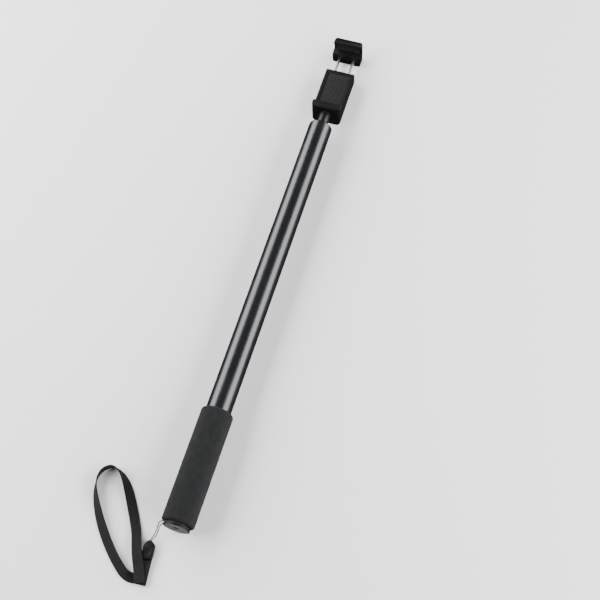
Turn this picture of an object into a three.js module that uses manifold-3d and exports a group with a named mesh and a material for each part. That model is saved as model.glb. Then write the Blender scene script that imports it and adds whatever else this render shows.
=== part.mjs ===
// Telescopic selfie stick lying on its back: foam grip, four nested tubes, a sprung phone clamp and a wrist strap.
// Millimetres, +Z up. Every piece is drawn along the stick's axis: x is the distance from the end cap's face,
// y is across the stick and z is the height above the axis. One group then sets the stick on the ground.
import * as THREE from 'three';
import Module from 'manifold-3d';
import { mergeVertices } from 'three/addons/utils/BufferGeometryUtils.js';

const wasm = await Module();
wasm.setup();

// ---------- driving dimensions ----------
const FIT_GAP = 0.3;
const TURN_SEGMENTS = 24;
const ARC_SEGMENTS = 4;

const TUBE_RADII = [12.5, 10.4, 8.3, 6.2];
const TUBE_WALL = 0.7;
const TUBE_STARTS = [3.9, 24, 36, 48];
const TUBE_TOPS = [458.3, 459.9, 461.2, 471.5];
const MOUTH_ROUND = 1.8;
const MOUTH_DEPTH = 1.6;
const GUIDE_LENGTH = 12;
const BUSH_LENGTH = 25;
const PLUG_LENGTH = 8;
const PLUG_RIM = 1.5;
const PLUG_VENT_RADIUS = 1.5;

const GRIP_RADIUS = 16;
const GRIP_END = 119.2;
const GRIP_LOW_ROUND = 2.2;
const GRIP_HIGH_ROUND = 3.5;

const CAP_RADIUS = 13;
const CAP_RIM_INNER = 11.8;
const CAP_FLANGE = 1.6;
const CAP_NECK_RADIUS = 10.2;
const CAP_LENGTH = 20;
const DISC_THICKNESS = 0.8;
const SOCKET_RADIUS = 3.175;
const SOCKET_OUTER_RADIUS = 5;
const SOCKET_START = 2.2;
const SOCKET_END = 12;
const SOCKET_HOLE_RADIUS = 3.5;

const STUD_RADIUS = 3.1;
const STUD_CLEAR_RADIUS = 3.4;
const CLAMP_START = 475;
const CLAMP_TOP = 534;
const CLAMP_HALF_WIDTH = 16;
const CLAMP_FRONT = 11.4;
const CLAMP_BACK = -GRIP_RADIUS;
const COVER_FRONT = -13.5;
const REAR_CORNER = 4;
const FRONT_CORNER = 1.6;
const LIP_INNER = 7.6;
const BACK_PLATE_FRONT = -1.2;
const LOWER_VALLEY = CLAMP_START + 5.4;
const LOWER_LIP_TOP = CLAMP_START + 8;
const NUT_SEAT = CLAMP_START + 1.6;
const NUT_THICKNESS = 3.2;
const NUT_RADIUS = 5.4;
const PAD_THICKNESS = 1.2;
const PAD_HALF_WIDTH = 12.6;

const JAW_TOP = 568.5;
const JAW_VALLEY = JAW_TOP - 5.3;
const JAW_LIP_BOTTOM = JAW_TOP - 7.9;
const JAW_BLOCK_BOTTOM = 555.2;
const JAW_BACK = CLAMP_BACK + 0.4;

const ROD_RADIUS = 1.5;
const ROD_OFFSET = 8;
const ROD_HEIGHT = -9;
const ROD_END = 504.4;
const CLIP_START = 505.4;
const CLIP_THICKNESS = 1.1;
const CLIP_RADIUS = 3;
const CHAMBER_START = 482;
const CHAMBER_END = 529;
const CHAMBER_RADIUS = 3.6;
const SPRING_RADIUS = 2.45;
const SPRING_WIRE_RADIUS = 0.38;
const SPRING_TURNS = 8;
const SPRING_STEPS_PER_TURN = 8;

// The strap's routes: x and y as everywhere, then the height above the ground.
const CORD_DIAMETER = 1.1;
const CORD_POINTS = [
  [-14.2, 21.8, 2.9], [-11.8, 21.1, 3.2], [-8.4, 19.7, 4.6], [-5.3, 18.6, 7.4], [-1.2, 17.9, 11.6],
  [1.9, 16.5, 16], [2.75, 13.4, 19.3], [2.75, 9.9, 21.9], [2.75, 5.5, 25.6], [2.75, 0, 27.05],
  [2.75, -5.5, 25.6], [2.75, -9.6, 21.5], [2.75, -11.05, 16], [2.75, -9.6, 10.5], [2.75, -5.5, 6.4],
  [2.75, 0, 4.85], [2.75, 5.6, 6.2], [2.75, 10.4, 9], [2.2, 14.6, 10.7], [-0.8, 16.7, 9.2], [-4.2, 17.1, 6.3],
  [-7.6, 17.9, 3.6], [-11, 19.2, 2.4], [-14.2, 20.6, 2.9],
];
const CORD_STEPS = 80;
const STRAP_WIDTH = 9.6;
const STRAP_THICKNESS = 1.2;
// Webbing loop: x, y, lift above lying on the ground, and roll in degrees (0 flat, 90 standing on its edge).
const LOOP_POINTS = [
  [-54, 17, 4.3, 0], [-47.3, 20.6, 4.4, 0], [-39.6, 24, 5, 0], [-31.4, 28, 6.2, 0], [-22.7, 31.8, 5, 0],
  [-11, 36.8, 1.6, 4], [1.5, 43.6, 0.1, 8], [13, 50.4, 0.02, 13], [24, 57.2, 0.02, 26], [33.5, 64.4, 0.02, 50],
  [40, 72, 0.02, 74], [42, 80.4, 0.02, 86], [37, 87.6, 0.02, 88], [28.5, 90.2, 0.02, 82], [18, 88.6, 0.02, 68],
  [7, 83.6, 0.02, 50], [-4, 77, 0.02, 35], [-15, 69.2, 0.02, 25], [-26, 60.2, 0.02, 20],
  [-36.4, 50.4, 0.02, 20], [-44.8, 41, 0.02, 20], [-49.8, 34, 0.02, 15], [-51.4, 27.6, 0.02, 4],
  [-50.8, 21.5, 0.02, 0], [-50.4, 12.6, 0.02, 0],
];
const LOOP_STEPS = 78;
const LOOP_GROUND_GAP = 0.02;
const TAB_START = [-32.4, 18.5];
const TAB_END = [-55.5, 15.9];
const TAB_THICKNESS = 2.4;
const TAB_HEIGHT = 2.75;
const CONNECTOR_NOSE = [-14.6, 21.2];
const CONNECTOR_LENGTH = 17.4;
const CONNECTOR_WIDTH = 10.4;
const CONNECTOR_THICKNESS = 5.4;
const CONNECTOR_GROUND_GAP = 0.1;

// ---------- materials ----------
const finish = (color, roughness, metalness) => new THREE.MeshStandardMaterial({ color, roughness, metalness });
const glossBlackMetal = finish(0x15161a, 0.18, 0.7);
const blackFoam = finish(0x1c1e20, 0.95, 0);
const greyDisc = finish(0x6e6f72, 0.5, 0.3);
const blackPlastic = finish(0x141416, 0.5, 0);
const blackRubber = finish(0x101012, 0.85, 0);
const brass = finish(0xb08a45, 0.35, 1);
const steel = finish(0xb9bcc0, 0.25, 1);
const springSteel = finish(0x8d9094, 0.35, 1);
const blackSteel = finish(0x1b1b1d, 0.4, 0.8);
const whiteNylon = finish(0xd9d7cf, 0.55, 0);
const blackWebbing = finish(0x131416, 0.9, 0);
const greyCord = finish(0x2a2b2e, 0.85, 0);

// ---------- closed bodies and booleans ----------
function signedVolume(position, index) {
  const a = new THREE.Vector3();
  const b = new THREE.Vector3();
  const c = new THREE.Vector3();
  let volume = 0;
  for (let i = 0; i < index.length; i += 3) {
    a.fromBufferAttribute(position, index[i]);
    b.fromBufferAttribute(position, index[i + 1]);
    c.fromBufferAttribute(position, index[i + 2]);
    volume += a.dot(b.cross(c)) / 6;
  }
  return volume;
}

// Joins shared vertices, drops triangles that have collapsed and turns the faces outward.
function closed(geometry) {
  geometry.deleteAttribute('normal');
  geometry.deleteAttribute('uv');
  const merged = mergeVertices(geometry, 1e-4);
  const source = merged.index.array;
  let index = [];
  for (let i = 0; i < source.length; i += 3) {
    const [a, b, c] = [source[i], source[i + 1], source[i + 2]];
    if (a !== b && b !== c && c !== a) index.push(a, b, c);
  }
  if (signedVolume(merged.attributes.position, index) < 0) index = index.reverse();
  merged.setIndex(index);
  return merged;
}

function toManifold(geometry) {
  const body = closed(geometry);
  return new wasm.Manifold(new wasm.Mesh({
    numProp: 3,
    vertProperties: new Float32Array(body.attributes.position.array),
    triVerts: new Uint32Array(body.index.array),
  }));
}

function fromManifold(manifold) {
  const mesh = manifold.getMesh();
  const geometry = new THREE.BufferGeometry();
  geometry.setAttribute('position', new THREE.BufferAttribute(new Float32Array(mesh.vertProperties), 3));
  geometry.setIndex(Array.from(mesh.triVerts));
  return geometry;
}

// Cuts a list of geometries out of a body.
function cut(body, tools) {
  return fromManifold(tools.reduce((left, tool) => left.subtract(toManifold(tool)), toManifold(body)));
}

function common(first, second) {
  return fromManifold(toManifold(first).intersect(toManifold(second)));
}

// ---------- basic shapes ----------
// A body of revolution about the stick's axis from a closed outline of [x, radius] points.
function turned(outline, segments = TURN_SEGMENTS) {
  const points = outline.map(([x, radius]) => new THREE.Vector2(radius, x));
  points.push(points[0].clone());
  return new THREE.LatheGeometry(points, segments).rotateZ(-Math.PI / 2);
}

function ring(start, end, inner, outer, segments) {
  return turned([[start, inner], [start, outer], [end, outer], [end, inner]], segments);
}

function rod(start, end, radius, segments) {
  return turned([[start, 0], [start, radius], [end, radius], [end, 0]], segments);
}

// Points of a quarter round of an outline, about a centre, from one angle to another in degrees.
function quarter(x, radius, round, from, to) {
  return Array.from({ length: ARC_SEGMENTS + 1 }, (_, i) => {
    const angle = THREE.MathUtils.degToRad(from + (to - from) * i / ARC_SEGMENTS);
    return [x + round * Math.cos(angle), radius + round * Math.sin(angle)];
  });
}

// A flat outline from corners of [a, b, round].
function rounded(corners) {
  const shape = new THREE.Shape();
  corners.forEach(([a, b, round], i) => {
    const here = new THREE.Vector2(a, b);
    const before = new THREE.Vector2(...corners.at(i - 1));
    const after = new THREE.Vector2(...corners[(i + 1) % corners.length]);
    const enter = here.clone().add(before.sub(here).setLength(round));
    const leave = here.clone().add(after.sub(here).setLength(round));
    if (i === 0) shape.moveTo(enter.x, enter.y);
    else shape.lineTo(enter.x, enter.y);
    if (round > 0) shape.quadraticCurveTo(a, b, leave.x, leave.y);
  });
  shape.closePath();
  return shape;
}

function extruded(shape, depth, steps = 1) {
  return new THREE.ExtrudeGeometry(shape, { depth, steps, bevelEnabled: false, curveSegments: ARC_SEGMENTS });
}

// A side outline in x and z, run across the stick between two values of y.
function acrossY(shape, from, to) {
  return extruded(shape, to - from).rotateX(Math.PI / 2).translate(0, to, 0);
}

// A cross-section in y and z, run along the stick between two values of x.
function alongX(shape, from, to) {
  const turn = new THREE.Matrix4().makeBasis(
    new THREE.Vector3(0, 1, 0),
    new THREE.Vector3(0, 0, 1),
    new THREE.Vector3(1, 0, 0),
  );
  return extruded(shape, to - from).applyMatrix4(turn).translate(from, 0, 0);
}

function block(x0, x1, y0, y1, z0, z1) {
  const box = new THREE.BoxGeometry(x1 - x0, y1 - y0, z1 - z0);
  return box.translate((x0 + x1) / 2, (y0 + y1) / 2, (z0 + z1) / 2);
}

function upright(x, y, z0, z1, radius, segments = 12) {
  const cylinder = new THREE.CylinderGeometry(radius, radius, z1 - z0, segments);
  return cylinder.rotateX(Math.PI / 2).translate(x, y, (z0 + z1) / 2);
}

// ---------- the stick and its nodes ----------
const stick = new THREE.Group();
stick.position.set(-JAW_TOP / 2, 0, GRIP_RADIUS);

function node(name, geometry, material) {
  const mesh = new THREE.Mesh(closed(geometry), material);
  mesh.name = name;
  stick.add(mesh);
  return mesh;
}

// ---------- telescoping tubes ----------
const bore = (i) => TUBE_RADII[i] - TUBE_WALL;
const mouth = (i) => TUBE_RADII[i + 1] + FIT_GAP;

// A tube whose mouth is rolled in around the next tube.
function mouthedTube(i) {
  const radius = TUBE_RADII[i];
  const top = TUBE_TOPS[i];
  return turned([
    [TUBE_STARTS[i], bore(i)],
    [TUBE_STARTS[i], radius],
    ...quarter(top - MOUTH_ROUND, radius - MOUTH_ROUND, MOUTH_ROUND, 90, 0),
    [top - MOUTH_DEPTH, mouth(i)],
    [top - MOUTH_DEPTH, bore(i)],
  ]);
}

function endPlug(i) {
  const start = TUBE_STARTS[i];
  const stem = bore(i) - FIT_GAP;
  return turned([
    [start - FIT_GAP - PLUG_RIM, PLUG_VENT_RADIUS],
    [start - FIT_GAP - PLUG_RIM, TUBE_RADII[i]],
    [start - FIT_GAP, TUBE_RADII[i]],
    [start - FIT_GAP, stem],
    [start + PLUG_LENGTH, stem],
    [start + PLUG_LENGTH, PLUG_VENT_RADIUS],
  ]);
}

const innermost = TUBE_RADII.length - 1;
node('outer_tube', mouthedTube(0), glossBlackMetal);
for (let i = 0; i < innermost; i += 1) {
  const guideEnd = TUBE_TOPS[i] - MOUTH_DEPTH - FIT_GAP;
  const guide = ring(guideEnd - GUIDE_LENGTH, guideEnd, mouth(i), bore(i) - FIT_GAP);
  node(`guide_ring_${i + 1}`, guide, whiteNylon);
}
for (let i = 1; i <= innermost; i += 1) {
  const plainTube = () => ring(TUBE_STARTS[i], TUBE_TOPS[i], bore(i), TUBE_RADII[i]);
  node(`tube_${i + 1}`, i < innermost ? mouthedTube(i) : plainTube(), glossBlackMetal);
  const bushStart = TUBE_STARTS[i] + FIT_GAP;
  const bush = ring(bushStart, bushStart + BUSH_LENGTH, TUBE_RADII[i] + FIT_GAP, bore(i - 1) - FIT_GAP);
  node(`brake_bush_${i + 1}`, bush, whiteNylon);
  node(`end_plug_${i + 1}`, endPlug(i), blackPlastic);
}

// ---------- grip and end cap ----------
node('foam_grip', turned([
  [TUBE_STARTS[0], TUBE_RADII[0] + FIT_GAP],
  ...quarter(TUBE_STARTS[0] + GRIP_LOW_ROUND, GRIP_RADIUS - GRIP_LOW_ROUND, GRIP_LOW_ROUND, 180, 90),
  ...quarter(GRIP_END - GRIP_HIGH_ROUND, GRIP_RADIUS - GRIP_HIGH_ROUND, GRIP_HIGH_ROUND, 90, 15),
  [GRIP_END, TUBE_RADII[0] + FIT_GAP],
]), blackFoam);

const discSeat = DISC_THICKNESS + FIT_GAP;
node('end_cap', turned([
  [0.15, CAP_RIM_INNER],
  [0.15, CAP_RADIUS - 0.6],
  [0.55, CAP_RADIUS],
  [CAP_FLANGE - 0.4, CAP_RADIUS],
  [CAP_FLANGE, CAP_RADIUS - 0.4],
  [CAP_FLANGE, CAP_NECK_RADIUS],
  [TUBE_STARTS[0] + FIT_GAP, CAP_NECK_RADIUS],
  [TUBE_STARTS[0] + FIT_GAP, bore(0) - FIT_GAP],
  [CAP_LENGTH, bore(0) - FIT_GAP],
  [CAP_LENGTH, SOCKET_OUTER_RADIUS + FIT_GAP],
  [SOCKET_START - FIT_GAP, SOCKET_OUTER_RADIUS + FIT_GAP],
  [SOCKET_START - FIT_GAP, SOCKET_HOLE_RADIUS],
  [discSeat, SOCKET_HOLE_RADIUS],
  [discSeat, CAP_RIM_INNER],
]), blackPlastic);
node('cap_disc', ring(0, DISC_THICKNESS, SOCKET_HOLE_RADIUS, CAP_RIM_INNER - FIT_GAP), greyDisc);
node('socket_insert', ring(SOCKET_START, SOCKET_END, SOCKET_RADIUS, SOCKET_OUTER_RADIUS, 24), brass);

// ---------- head: plug, screw and washer ----------
const headSeat = TUBE_TOPS[innermost];
const headFlange = 1.5;
node('head_plug', turned([
  [headSeat - PLUG_LENGTH, STUD_CLEAR_RADIUS],
  [headSeat - PLUG_LENGTH, bore(innermost) - FIT_GAP],
  [headSeat + FIT_GAP, bore(innermost) - FIT_GAP],
  [headSeat + FIT_GAP, TUBE_RADII[innermost]],
  [headSeat + FIT_GAP + headFlange, TUBE_RADII[innermost]],
  [headSeat + FIT_GAP + headFlange, STUD_CLEAR_RADIUS],
]), blackPlastic);
const washerStart = headSeat + FIT_GAP + headFlange + FIT_GAP;
node('rubber_washer', ring(washerStart, CLAMP_START - FIT_GAP, STUD_CLEAR_RADIUS, 5.8), blackRubber);
node('screw_stud', rod(headSeat - PLUG_LENGTH + 1, LOWER_VALLEY - 0.8, STUD_RADIUS, 16), steel);

// ---------- phone clamp ----------
const clampSection = rounded([
  [-CLAMP_HALF_WIDTH, CLAMP_BACK, REAR_CORNER],
  [CLAMP_HALF_WIDTH, CLAMP_BACK, REAR_CORNER],
  [CLAMP_HALF_WIDTH, CLAMP_FRONT, FRONT_CORNER],
  [-CLAMP_HALF_WIDTH, CLAMP_FRONT, FRONT_CORNER],
]);
const clampSide = rounded([
  [CLAMP_START, CLAMP_BACK, 0],
  [CLAMP_START, CLAMP_FRONT, 1.5],
  [LOWER_LIP_TOP, CLAMP_FRONT, 1.5],
  [LOWER_LIP_TOP, LIP_INNER, 0.8],
  [LOWER_VALLEY, LIP_INNER - 0.6, 0],
  [LOWER_VALLEY, BACK_PLATE_FRONT, 0],
  [CLAMP_TOP, BACK_PLATE_FRONT, 1],
  [CLAMP_TOP, CLAMP_BACK, 0],
]);
// Seen from the front, with the corners rounded.
const clampFront = rounded([
  [CLAMP_START, -CLAMP_HALF_WIDTH, 3.5],
  [CLAMP_TOP, -CLAMP_HALF_WIDTH, 2.5],
  [CLAMP_TOP, CLAMP_HALF_WIDTH, 2.5],
  [CLAMP_START, CLAMP_HALF_WIDTH, 3.5],
]);
const frontPrism = (shape) => extruded(shape, CLAMP_FRONT - CLAMP_BACK).translate(0, 0, CLAMP_BACK);
const clampWhole = common(
  common(acrossY(clampSide, -CLAMP_HALF_WIDTH, CLAMP_HALF_WIDTH), alongX(clampSection, CLAMP_START, CLAMP_TOP)),
  frontPrism(clampFront),
);

const SCREW_PLACES = [[CLAMP_START + 3.6, -10.6], [CLAMP_START + 3.6, 10.6], [500, 0], [524, 0]];
const SCREW_HEAD_RADIUS = 2;
const SCREW_SHANK_RADIUS = 0.9;
const SCREW_HEAD_TOP = CLAMP_BACK + 1.2;
const SCREW_TIP = CLAMP_BACK + 9;

const coverFar = 2 * CLAMP_HALF_WIDTH;
const rearSlab = block(CLAMP_START - 1, CLAMP_TOP + 1, -coverFar, coverFar, CLAMP_BACK - 1, COVER_FRONT);
const frontSlab = block(
  CLAMP_START - 1, CLAMP_TOP + 1, -coverFar, coverFar, COVER_FRONT + FIT_GAP, CLAMP_FRONT + 1,
);
node('clamp_back_cover', cut(common(clampWhole, rearSlab), SCREW_PLACES.flatMap(([x, y]) => [
  upright(x, y, CLAMP_BACK - 1, SCREW_HEAD_TOP + FIT_GAP, SCREW_HEAD_RADIUS + FIT_GAP),
  upright(x, y, CLAMP_BACK, COVER_FRONT + 1, SCREW_SHANK_RADIUS + FIT_GAP),
])), blackPlastic);

// One spring chamber's section, open at the back, where the cover closes it.
function chamberSection(side) {
  const shape = new THREE.Shape();
  const y = side * ROD_OFFSET;
  shape.moveTo(y - CHAMBER_RADIUS, COVER_FRONT - 1);
  shape.lineTo(y + CHAMBER_RADIUS, COVER_FRONT - 1);
  shape.lineTo(y + CHAMBER_RADIUS, ROD_HEIGHT);
  shape.absarc(y, ROD_HEIGHT, CHAMBER_RADIUS, 0, Math.PI, false);
  shape.closePath();
  return shape;
}

const rodAt = (side, geometry) => geometry.translate(0, side * ROD_OFFSET, ROD_HEIGHT);
const ROD_CLEAR_RADIUS = ROD_RADIUS + 0.25;
const nutPocketRadius = NUT_RADIUS + 0.4;
const hexagon = (radius) => rounded(Array.from({ length: 6 }, (_, i) => {
  const angle = (i + 0.5) * Math.PI / 3;
  return [radius * Math.cos(angle), radius * Math.sin(angle), 0];
}));
const PAD_RECESS = { x0: 489, x1: 529, halfWidth: 11.5, depth: 0.9 };
const padFloor = BACK_PLATE_FRONT - PAD_RECESS.depth;
node('clamp_body', cut(common(clampWhole, frontSlab), [
  alongX(hexagon(nutPocketRadius), NUT_SEAT, LOWER_VALLEY + 1),
  rod(CLAMP_START - 1, NUT_SEAT + 1, STUD_CLEAR_RADIUS, 16),
  block(
    PAD_RECESS.x0, PAD_RECESS.x1, -PAD_RECESS.halfWidth, PAD_RECESS.halfWidth, padFloor, BACK_PLATE_FRONT + 1,
  ),
  ...[-1, 1].map((side) => alongX(chamberSection(side), CHAMBER_START, CHAMBER_END)),
  ...[-1, 1].map((side) => rodAt(side, rod(CHAMBER_END - 1, CLAMP_TOP + 1, ROD_CLEAR_RADIUS, 12))),
  ...SCREW_PLACES.map(([x, y]) => upright(x, y, COVER_FRONT, SCREW_TIP + FIT_GAP, SCREW_SHANK_RADIUS + FIT_GAP)),
]), blackPlastic);

SCREW_PLACES.forEach(([x, y], i) => {
  const head = toManifold(upright(x, y, CLAMP_BACK + 0.1, SCREW_HEAD_TOP, SCREW_HEAD_RADIUS));
  const shank = toManifold(upright(x, y, SCREW_HEAD_TOP - 0.5, SCREW_TIP, SCREW_SHANK_RADIUS, 8));
  node(`cover_screw_${i + 1}`, fromManifold(head.add(shank)), blackSteel);
});

const nutShape = hexagon(NUT_RADIUS);
nutShape.holes.push(new THREE.Path().absarc(0, 0, STUD_CLEAR_RADIUS, 0, 2 * Math.PI, true));
node('clamp_nut', alongX(nutShape, NUT_SEAT + FIT_GAP, NUT_SEAT + FIT_GAP + NUT_THICKNESS), brass);

node('lower_jaw_pad', block(
  LOWER_VALLEY + FIT_GAP, LOWER_VALLEY + FIT_GAP + PAD_THICKNESS, -PAD_HALF_WIDTH, PAD_HALF_WIDTH,
  BACK_PLATE_FRONT + FIT_GAP, LIP_INNER - 1,
), blackRubber);
node('back_pad', block(
  PAD_RECESS.x0 + FIT_GAP, PAD_RECESS.x1 - FIT_GAP, -PAD_RECESS.halfWidth + FIT_GAP,
  PAD_RECESS.halfWidth - FIT_GAP, padFloor + FIT_GAP, BACK_PLATE_FRONT + 0.5,
), blackRubber);

// ---------- sliding jaw ----------
const jawSide = rounded([
  [JAW_BLOCK_BOTTOM, JAW_BACK, 1],
  [JAW_BLOCK_BOTTOM, BACK_PLATE_FRONT, 1],
  [JAW_VALLEY, BACK_PLATE_FRONT, 0],
  [JAW_VALLEY, LIP_INNER - 0.6, 0],
  [JAW_LIP_BOTTOM, LIP_INNER, 0.8],
  [JAW_LIP_BOTTOM, CLAMP_FRONT, 1.5],
  [JAW_TOP, CLAMP_FRONT, 1.8],
  [JAW_TOP, JAW_BACK, 1.5],
]);
const jawSection = rounded([
  [-CLAMP_HALF_WIDTH, JAW_BACK, REAR_CORNER],
  [CLAMP_HALF_WIDTH, JAW_BACK, REAR_CORNER],
  [CLAMP_HALF_WIDTH, CLAMP_FRONT, FRONT_CORNER],
  [-CLAMP_HALF_WIDTH, CLAMP_FRONT, FRONT_CORNER],
]);
const jawFront = rounded([
  [JAW_BLOCK_BOTTOM, -CLAMP_HALF_WIDTH, 0.8],
  [JAW_TOP, -CLAMP_HALF_WIDTH, 4.5],
  [JAW_TOP, CLAMP_HALF_WIDTH, 4.5],
  [JAW_BLOCK_BOTTOM, CLAMP_HALF_WIDTH, 0.8],
]);
const jawWhole = common(
  common(acrossY(jawSide, -CLAMP_HALF_WIDTH, CLAMP_HALF_WIDTH), alongX(jawSection, JAW_BLOCK_BOTTOM, JAW_TOP)),
  frontPrism(jawFront),
);
const ROD_SOCKET_DEPTH = 9.5;
const rodTop = JAW_BLOCK_BOTTOM + ROD_SOCKET_DEPTH - FIT_GAP;
node('upper_jaw', cut(jawWhole, [-1, 1].map((side) => rodAt(
  side, rod(JAW_BLOCK_BOTTOM - 1, JAW_BLOCK_BOTTOM + ROD_SOCKET_DEPTH, ROD_RADIUS + FIT_GAP, 12),
))), blackPlastic);
node('upper_jaw_pad', block(
  JAW_VALLEY - FIT_GAP - PAD_THICKNESS, JAW_VALLEY - FIT_GAP, -PAD_HALF_WIDTH, PAD_HALF_WIDTH,
  BACK_PLATE_FRONT + FIT_GAP, LIP_INNER - 1,
), blackRubber);

class Helix extends THREE.Curve {
  constructor(start, end, radius, turns) {
    super();
    Object.assign(this, { start, end, radius, turns });
  }

  getPoint(t, target = new THREE.Vector3()) {
    const angle = 2 * Math.PI * this.turns * t;
    const x = this.start + (this.end - this.start) * t;
    return target.set(x, this.radius * Math.cos(angle), this.radius * Math.sin(angle));
  }
}

function roundSection(radius, sides) {
  const points = Array.from({ length: sides }, (_, i) => {
    const angle = 2 * Math.PI * i / sides;
    return new THREE.Vector2(radius * Math.cos(angle), radius * Math.sin(angle));
  });
  return new THREE.Shape(points);
}

const SIDES = { left: 1, right: -1 };
for (const [word, side] of Object.entries(SIDES)) {
  node(`guide_rod_${word}`, rodAt(side, rod(ROD_END, rodTop, ROD_RADIUS, 12)), steel);
  const clip = ring(CLIP_START, CLIP_START + CLIP_THICKNESS, ROD_RADIUS + 0.2, CLIP_RADIUS, 16);
  node(`rod_clip_${word}`, rodAt(side, clip), blackSteel);
  const coil = new Helix(
    CLIP_START + CLIP_THICKNESS + FIT_GAP + SPRING_WIRE_RADIUS,
    CHAMBER_END - FIT_GAP - SPRING_WIRE_RADIUS,
    SPRING_RADIUS,
    SPRING_TURNS,
  );
  const wire = new THREE.ExtrudeGeometry(roundSection(SPRING_WIRE_RADIUS, 5), {
    extrudePath: coil,
    steps: SPRING_TURNS * SPRING_STEPS_PER_TURN,
  });
  node(`return_spring_${word}`, rodAt(side, wire), springSteel);
}

// ---------- wrist strap ----------
const aboveGround = ([x, y, height]) => new THREE.Vector3(x, y, height - GRIP_RADIUS);

const cordPath = new THREE.CatmullRomCurve3(CORD_POINTS.map(aboveGround), false, 'centripetal');
node('strap_cord', new THREE.ExtrudeGeometry(roundSection(CORD_DIAMETER / 2, 8), {
  extrudePath: cordPath,
  steps: CORD_STEPS,
}), greyCord);

// Height of a band's centre when its lower edge or face just meets the ground at a roll.
function restHeight(roll) {
  return Math.sin(roll) * STRAP_WIDTH / 2 + Math.cos(roll) * STRAP_THICKNESS / 2;
}

// Bends a straight band along a path of [x, y, lift, roll], turning it about the path by the roll.
function bandAlong(points, steps) {
  const smooth = (list) => new THREE.CatmullRomCurve3(list, false, 'centripetal');
  const path = smooth(points.map(([x, y, lift]) => new THREE.Vector3(x, y, lift)));
  const rollPath = smooth(points.map(([x, y, , roll]) => new THREE.Vector3(x, y, THREE.MathUtils.degToRad(roll))));
  const half = [STRAP_WIDTH / 2, STRAP_THICKNESS / 2];
  const section = rounded([
    [-half[0], -half[1], 0], [half[0], -half[1], 0], [half[0], half[1], 0], [-half[0], half[1], 0],
  ]);
  const band = extruded(section, 1, steps);
  const position = band.attributes.position;
  const up = new THREE.Vector3(0, 0, 1);
  for (let i = 0; i < position.count; i += 1) {
    const along = path.getUtoTmapping(THREE.MathUtils.clamp(position.getZ(i), 0, 1));
    const tangent = path.getTangent(along);
    const roll = Math.max(rollPath.getPoint(along).z, 0);
    const side = new THREE.Vector3().crossVectors(up, tangent).normalize().applyAxisAngle(tangent, roll);
    const face = new THREE.Vector3().crossVectors(tangent, side);
    const point = path.getPoint(along);
    point.z = Math.max(point.z, LOOP_GROUND_GAP) + restHeight(roll) - GRIP_RADIUS;
    point.addScaledVector(side, position.getX(i)).addScaledVector(face, position.getY(i));
    position.setXYZ(i, point.x, point.y, point.z);
  }
  return band;
}
node('strap_webbing', bandAlong(LOOP_POINTS, LOOP_STEPS), blackWebbing);

// A flat outline on the ground that points from one place to another, between two heights.
function lying(shape, from, heading, low, high) {
  return extruded(shape, high - low).rotateZ(heading).translate(from[0], from[1], low - GRIP_RADIUS);
}

const tabHeading = Math.atan2(TAB_END[1] - TAB_START[1], TAB_END[0] - TAB_START[0]);
const tabLength = Math.hypot(TAB_END[0] - TAB_START[0], TAB_END[1] - TAB_START[1]);
node('strap_tab', lying(rounded([
  [0, -STRAP_WIDTH / 2, 0],
  [tabLength, -STRAP_WIDTH / 2, 0.5],
  [tabLength, STRAP_WIDTH / 2, 0.5],
  [0, STRAP_WIDTH / 2, 0],
]), TAB_START, tabHeading, TAB_HEIGHT - TAB_THICKNESS / 2, TAB_HEIGHT + TAB_THICKNESS / 2), blackWebbing);

node('strap_connector', lying(rounded([
  [0, -1.7, 0.8],
  [5.5, -CONNECTOR_WIDTH / 2, 3],
  [CONNECTOR_LENGTH, -CONNECTOR_WIDTH / 2, 0.8],
  [CONNECTOR_LENGTH, CONNECTOR_WIDTH / 2, 0.8],
  [5.5, CONNECTOR_WIDTH / 2, 3],
  [0, 1.7, 0.8],
]), CONNECTOR_NOSE, tabHeading, CONNECTOR_GROUND_GAP, CONNECTOR_GROUND_GAP + CONNECTOR_THICKNESS), blackPlastic);

const selfieStick = new THREE.Group();
selfieStick.add(stick);
export default selfieStick;
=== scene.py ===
"""Selfie stick lying on its back: camera, wrist strap, tubes, grip, phone clamp, light and floor.

Metres throughout, apart from names ending in _MM and all the clamp's and jaw's sizes, in millimetres.
Millimetres go through local(s, y, z): s runs along the stick from the end cap's face, y across it and z
above its axis.
"""
import math

import bmesh
import bpy
from mathutils import Matrix, Vector, noise


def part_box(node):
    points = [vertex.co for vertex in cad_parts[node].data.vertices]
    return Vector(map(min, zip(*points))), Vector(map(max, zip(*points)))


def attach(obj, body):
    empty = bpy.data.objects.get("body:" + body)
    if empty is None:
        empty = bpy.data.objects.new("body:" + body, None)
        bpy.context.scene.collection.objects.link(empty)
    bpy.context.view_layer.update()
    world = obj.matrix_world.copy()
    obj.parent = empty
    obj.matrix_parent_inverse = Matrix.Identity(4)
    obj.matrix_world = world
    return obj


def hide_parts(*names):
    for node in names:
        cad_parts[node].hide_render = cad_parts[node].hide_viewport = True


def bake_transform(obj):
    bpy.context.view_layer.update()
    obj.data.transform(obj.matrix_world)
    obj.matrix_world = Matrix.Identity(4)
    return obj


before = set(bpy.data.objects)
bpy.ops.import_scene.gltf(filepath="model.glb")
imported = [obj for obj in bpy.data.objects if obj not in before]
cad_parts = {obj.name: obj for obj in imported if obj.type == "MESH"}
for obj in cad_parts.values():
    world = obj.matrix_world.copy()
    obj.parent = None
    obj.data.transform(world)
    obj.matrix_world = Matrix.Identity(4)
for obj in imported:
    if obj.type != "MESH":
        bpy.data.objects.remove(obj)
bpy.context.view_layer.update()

MM = 0.001
CAP_FACE_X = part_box("cap_disc")[0].x
AXIS_Z = (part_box("foam_grip")[0].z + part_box("foam_grip")[1].z) / 2


def local(s, y, z):
    """A point in the row frame from millimetres along, across and above the stick's axis."""
    return Vector((CAP_FACE_X + s * MM, y * MM, AXIS_Z + z * MM))


def s_of(x):
    return (x - CAP_FACE_X) / MM


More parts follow.
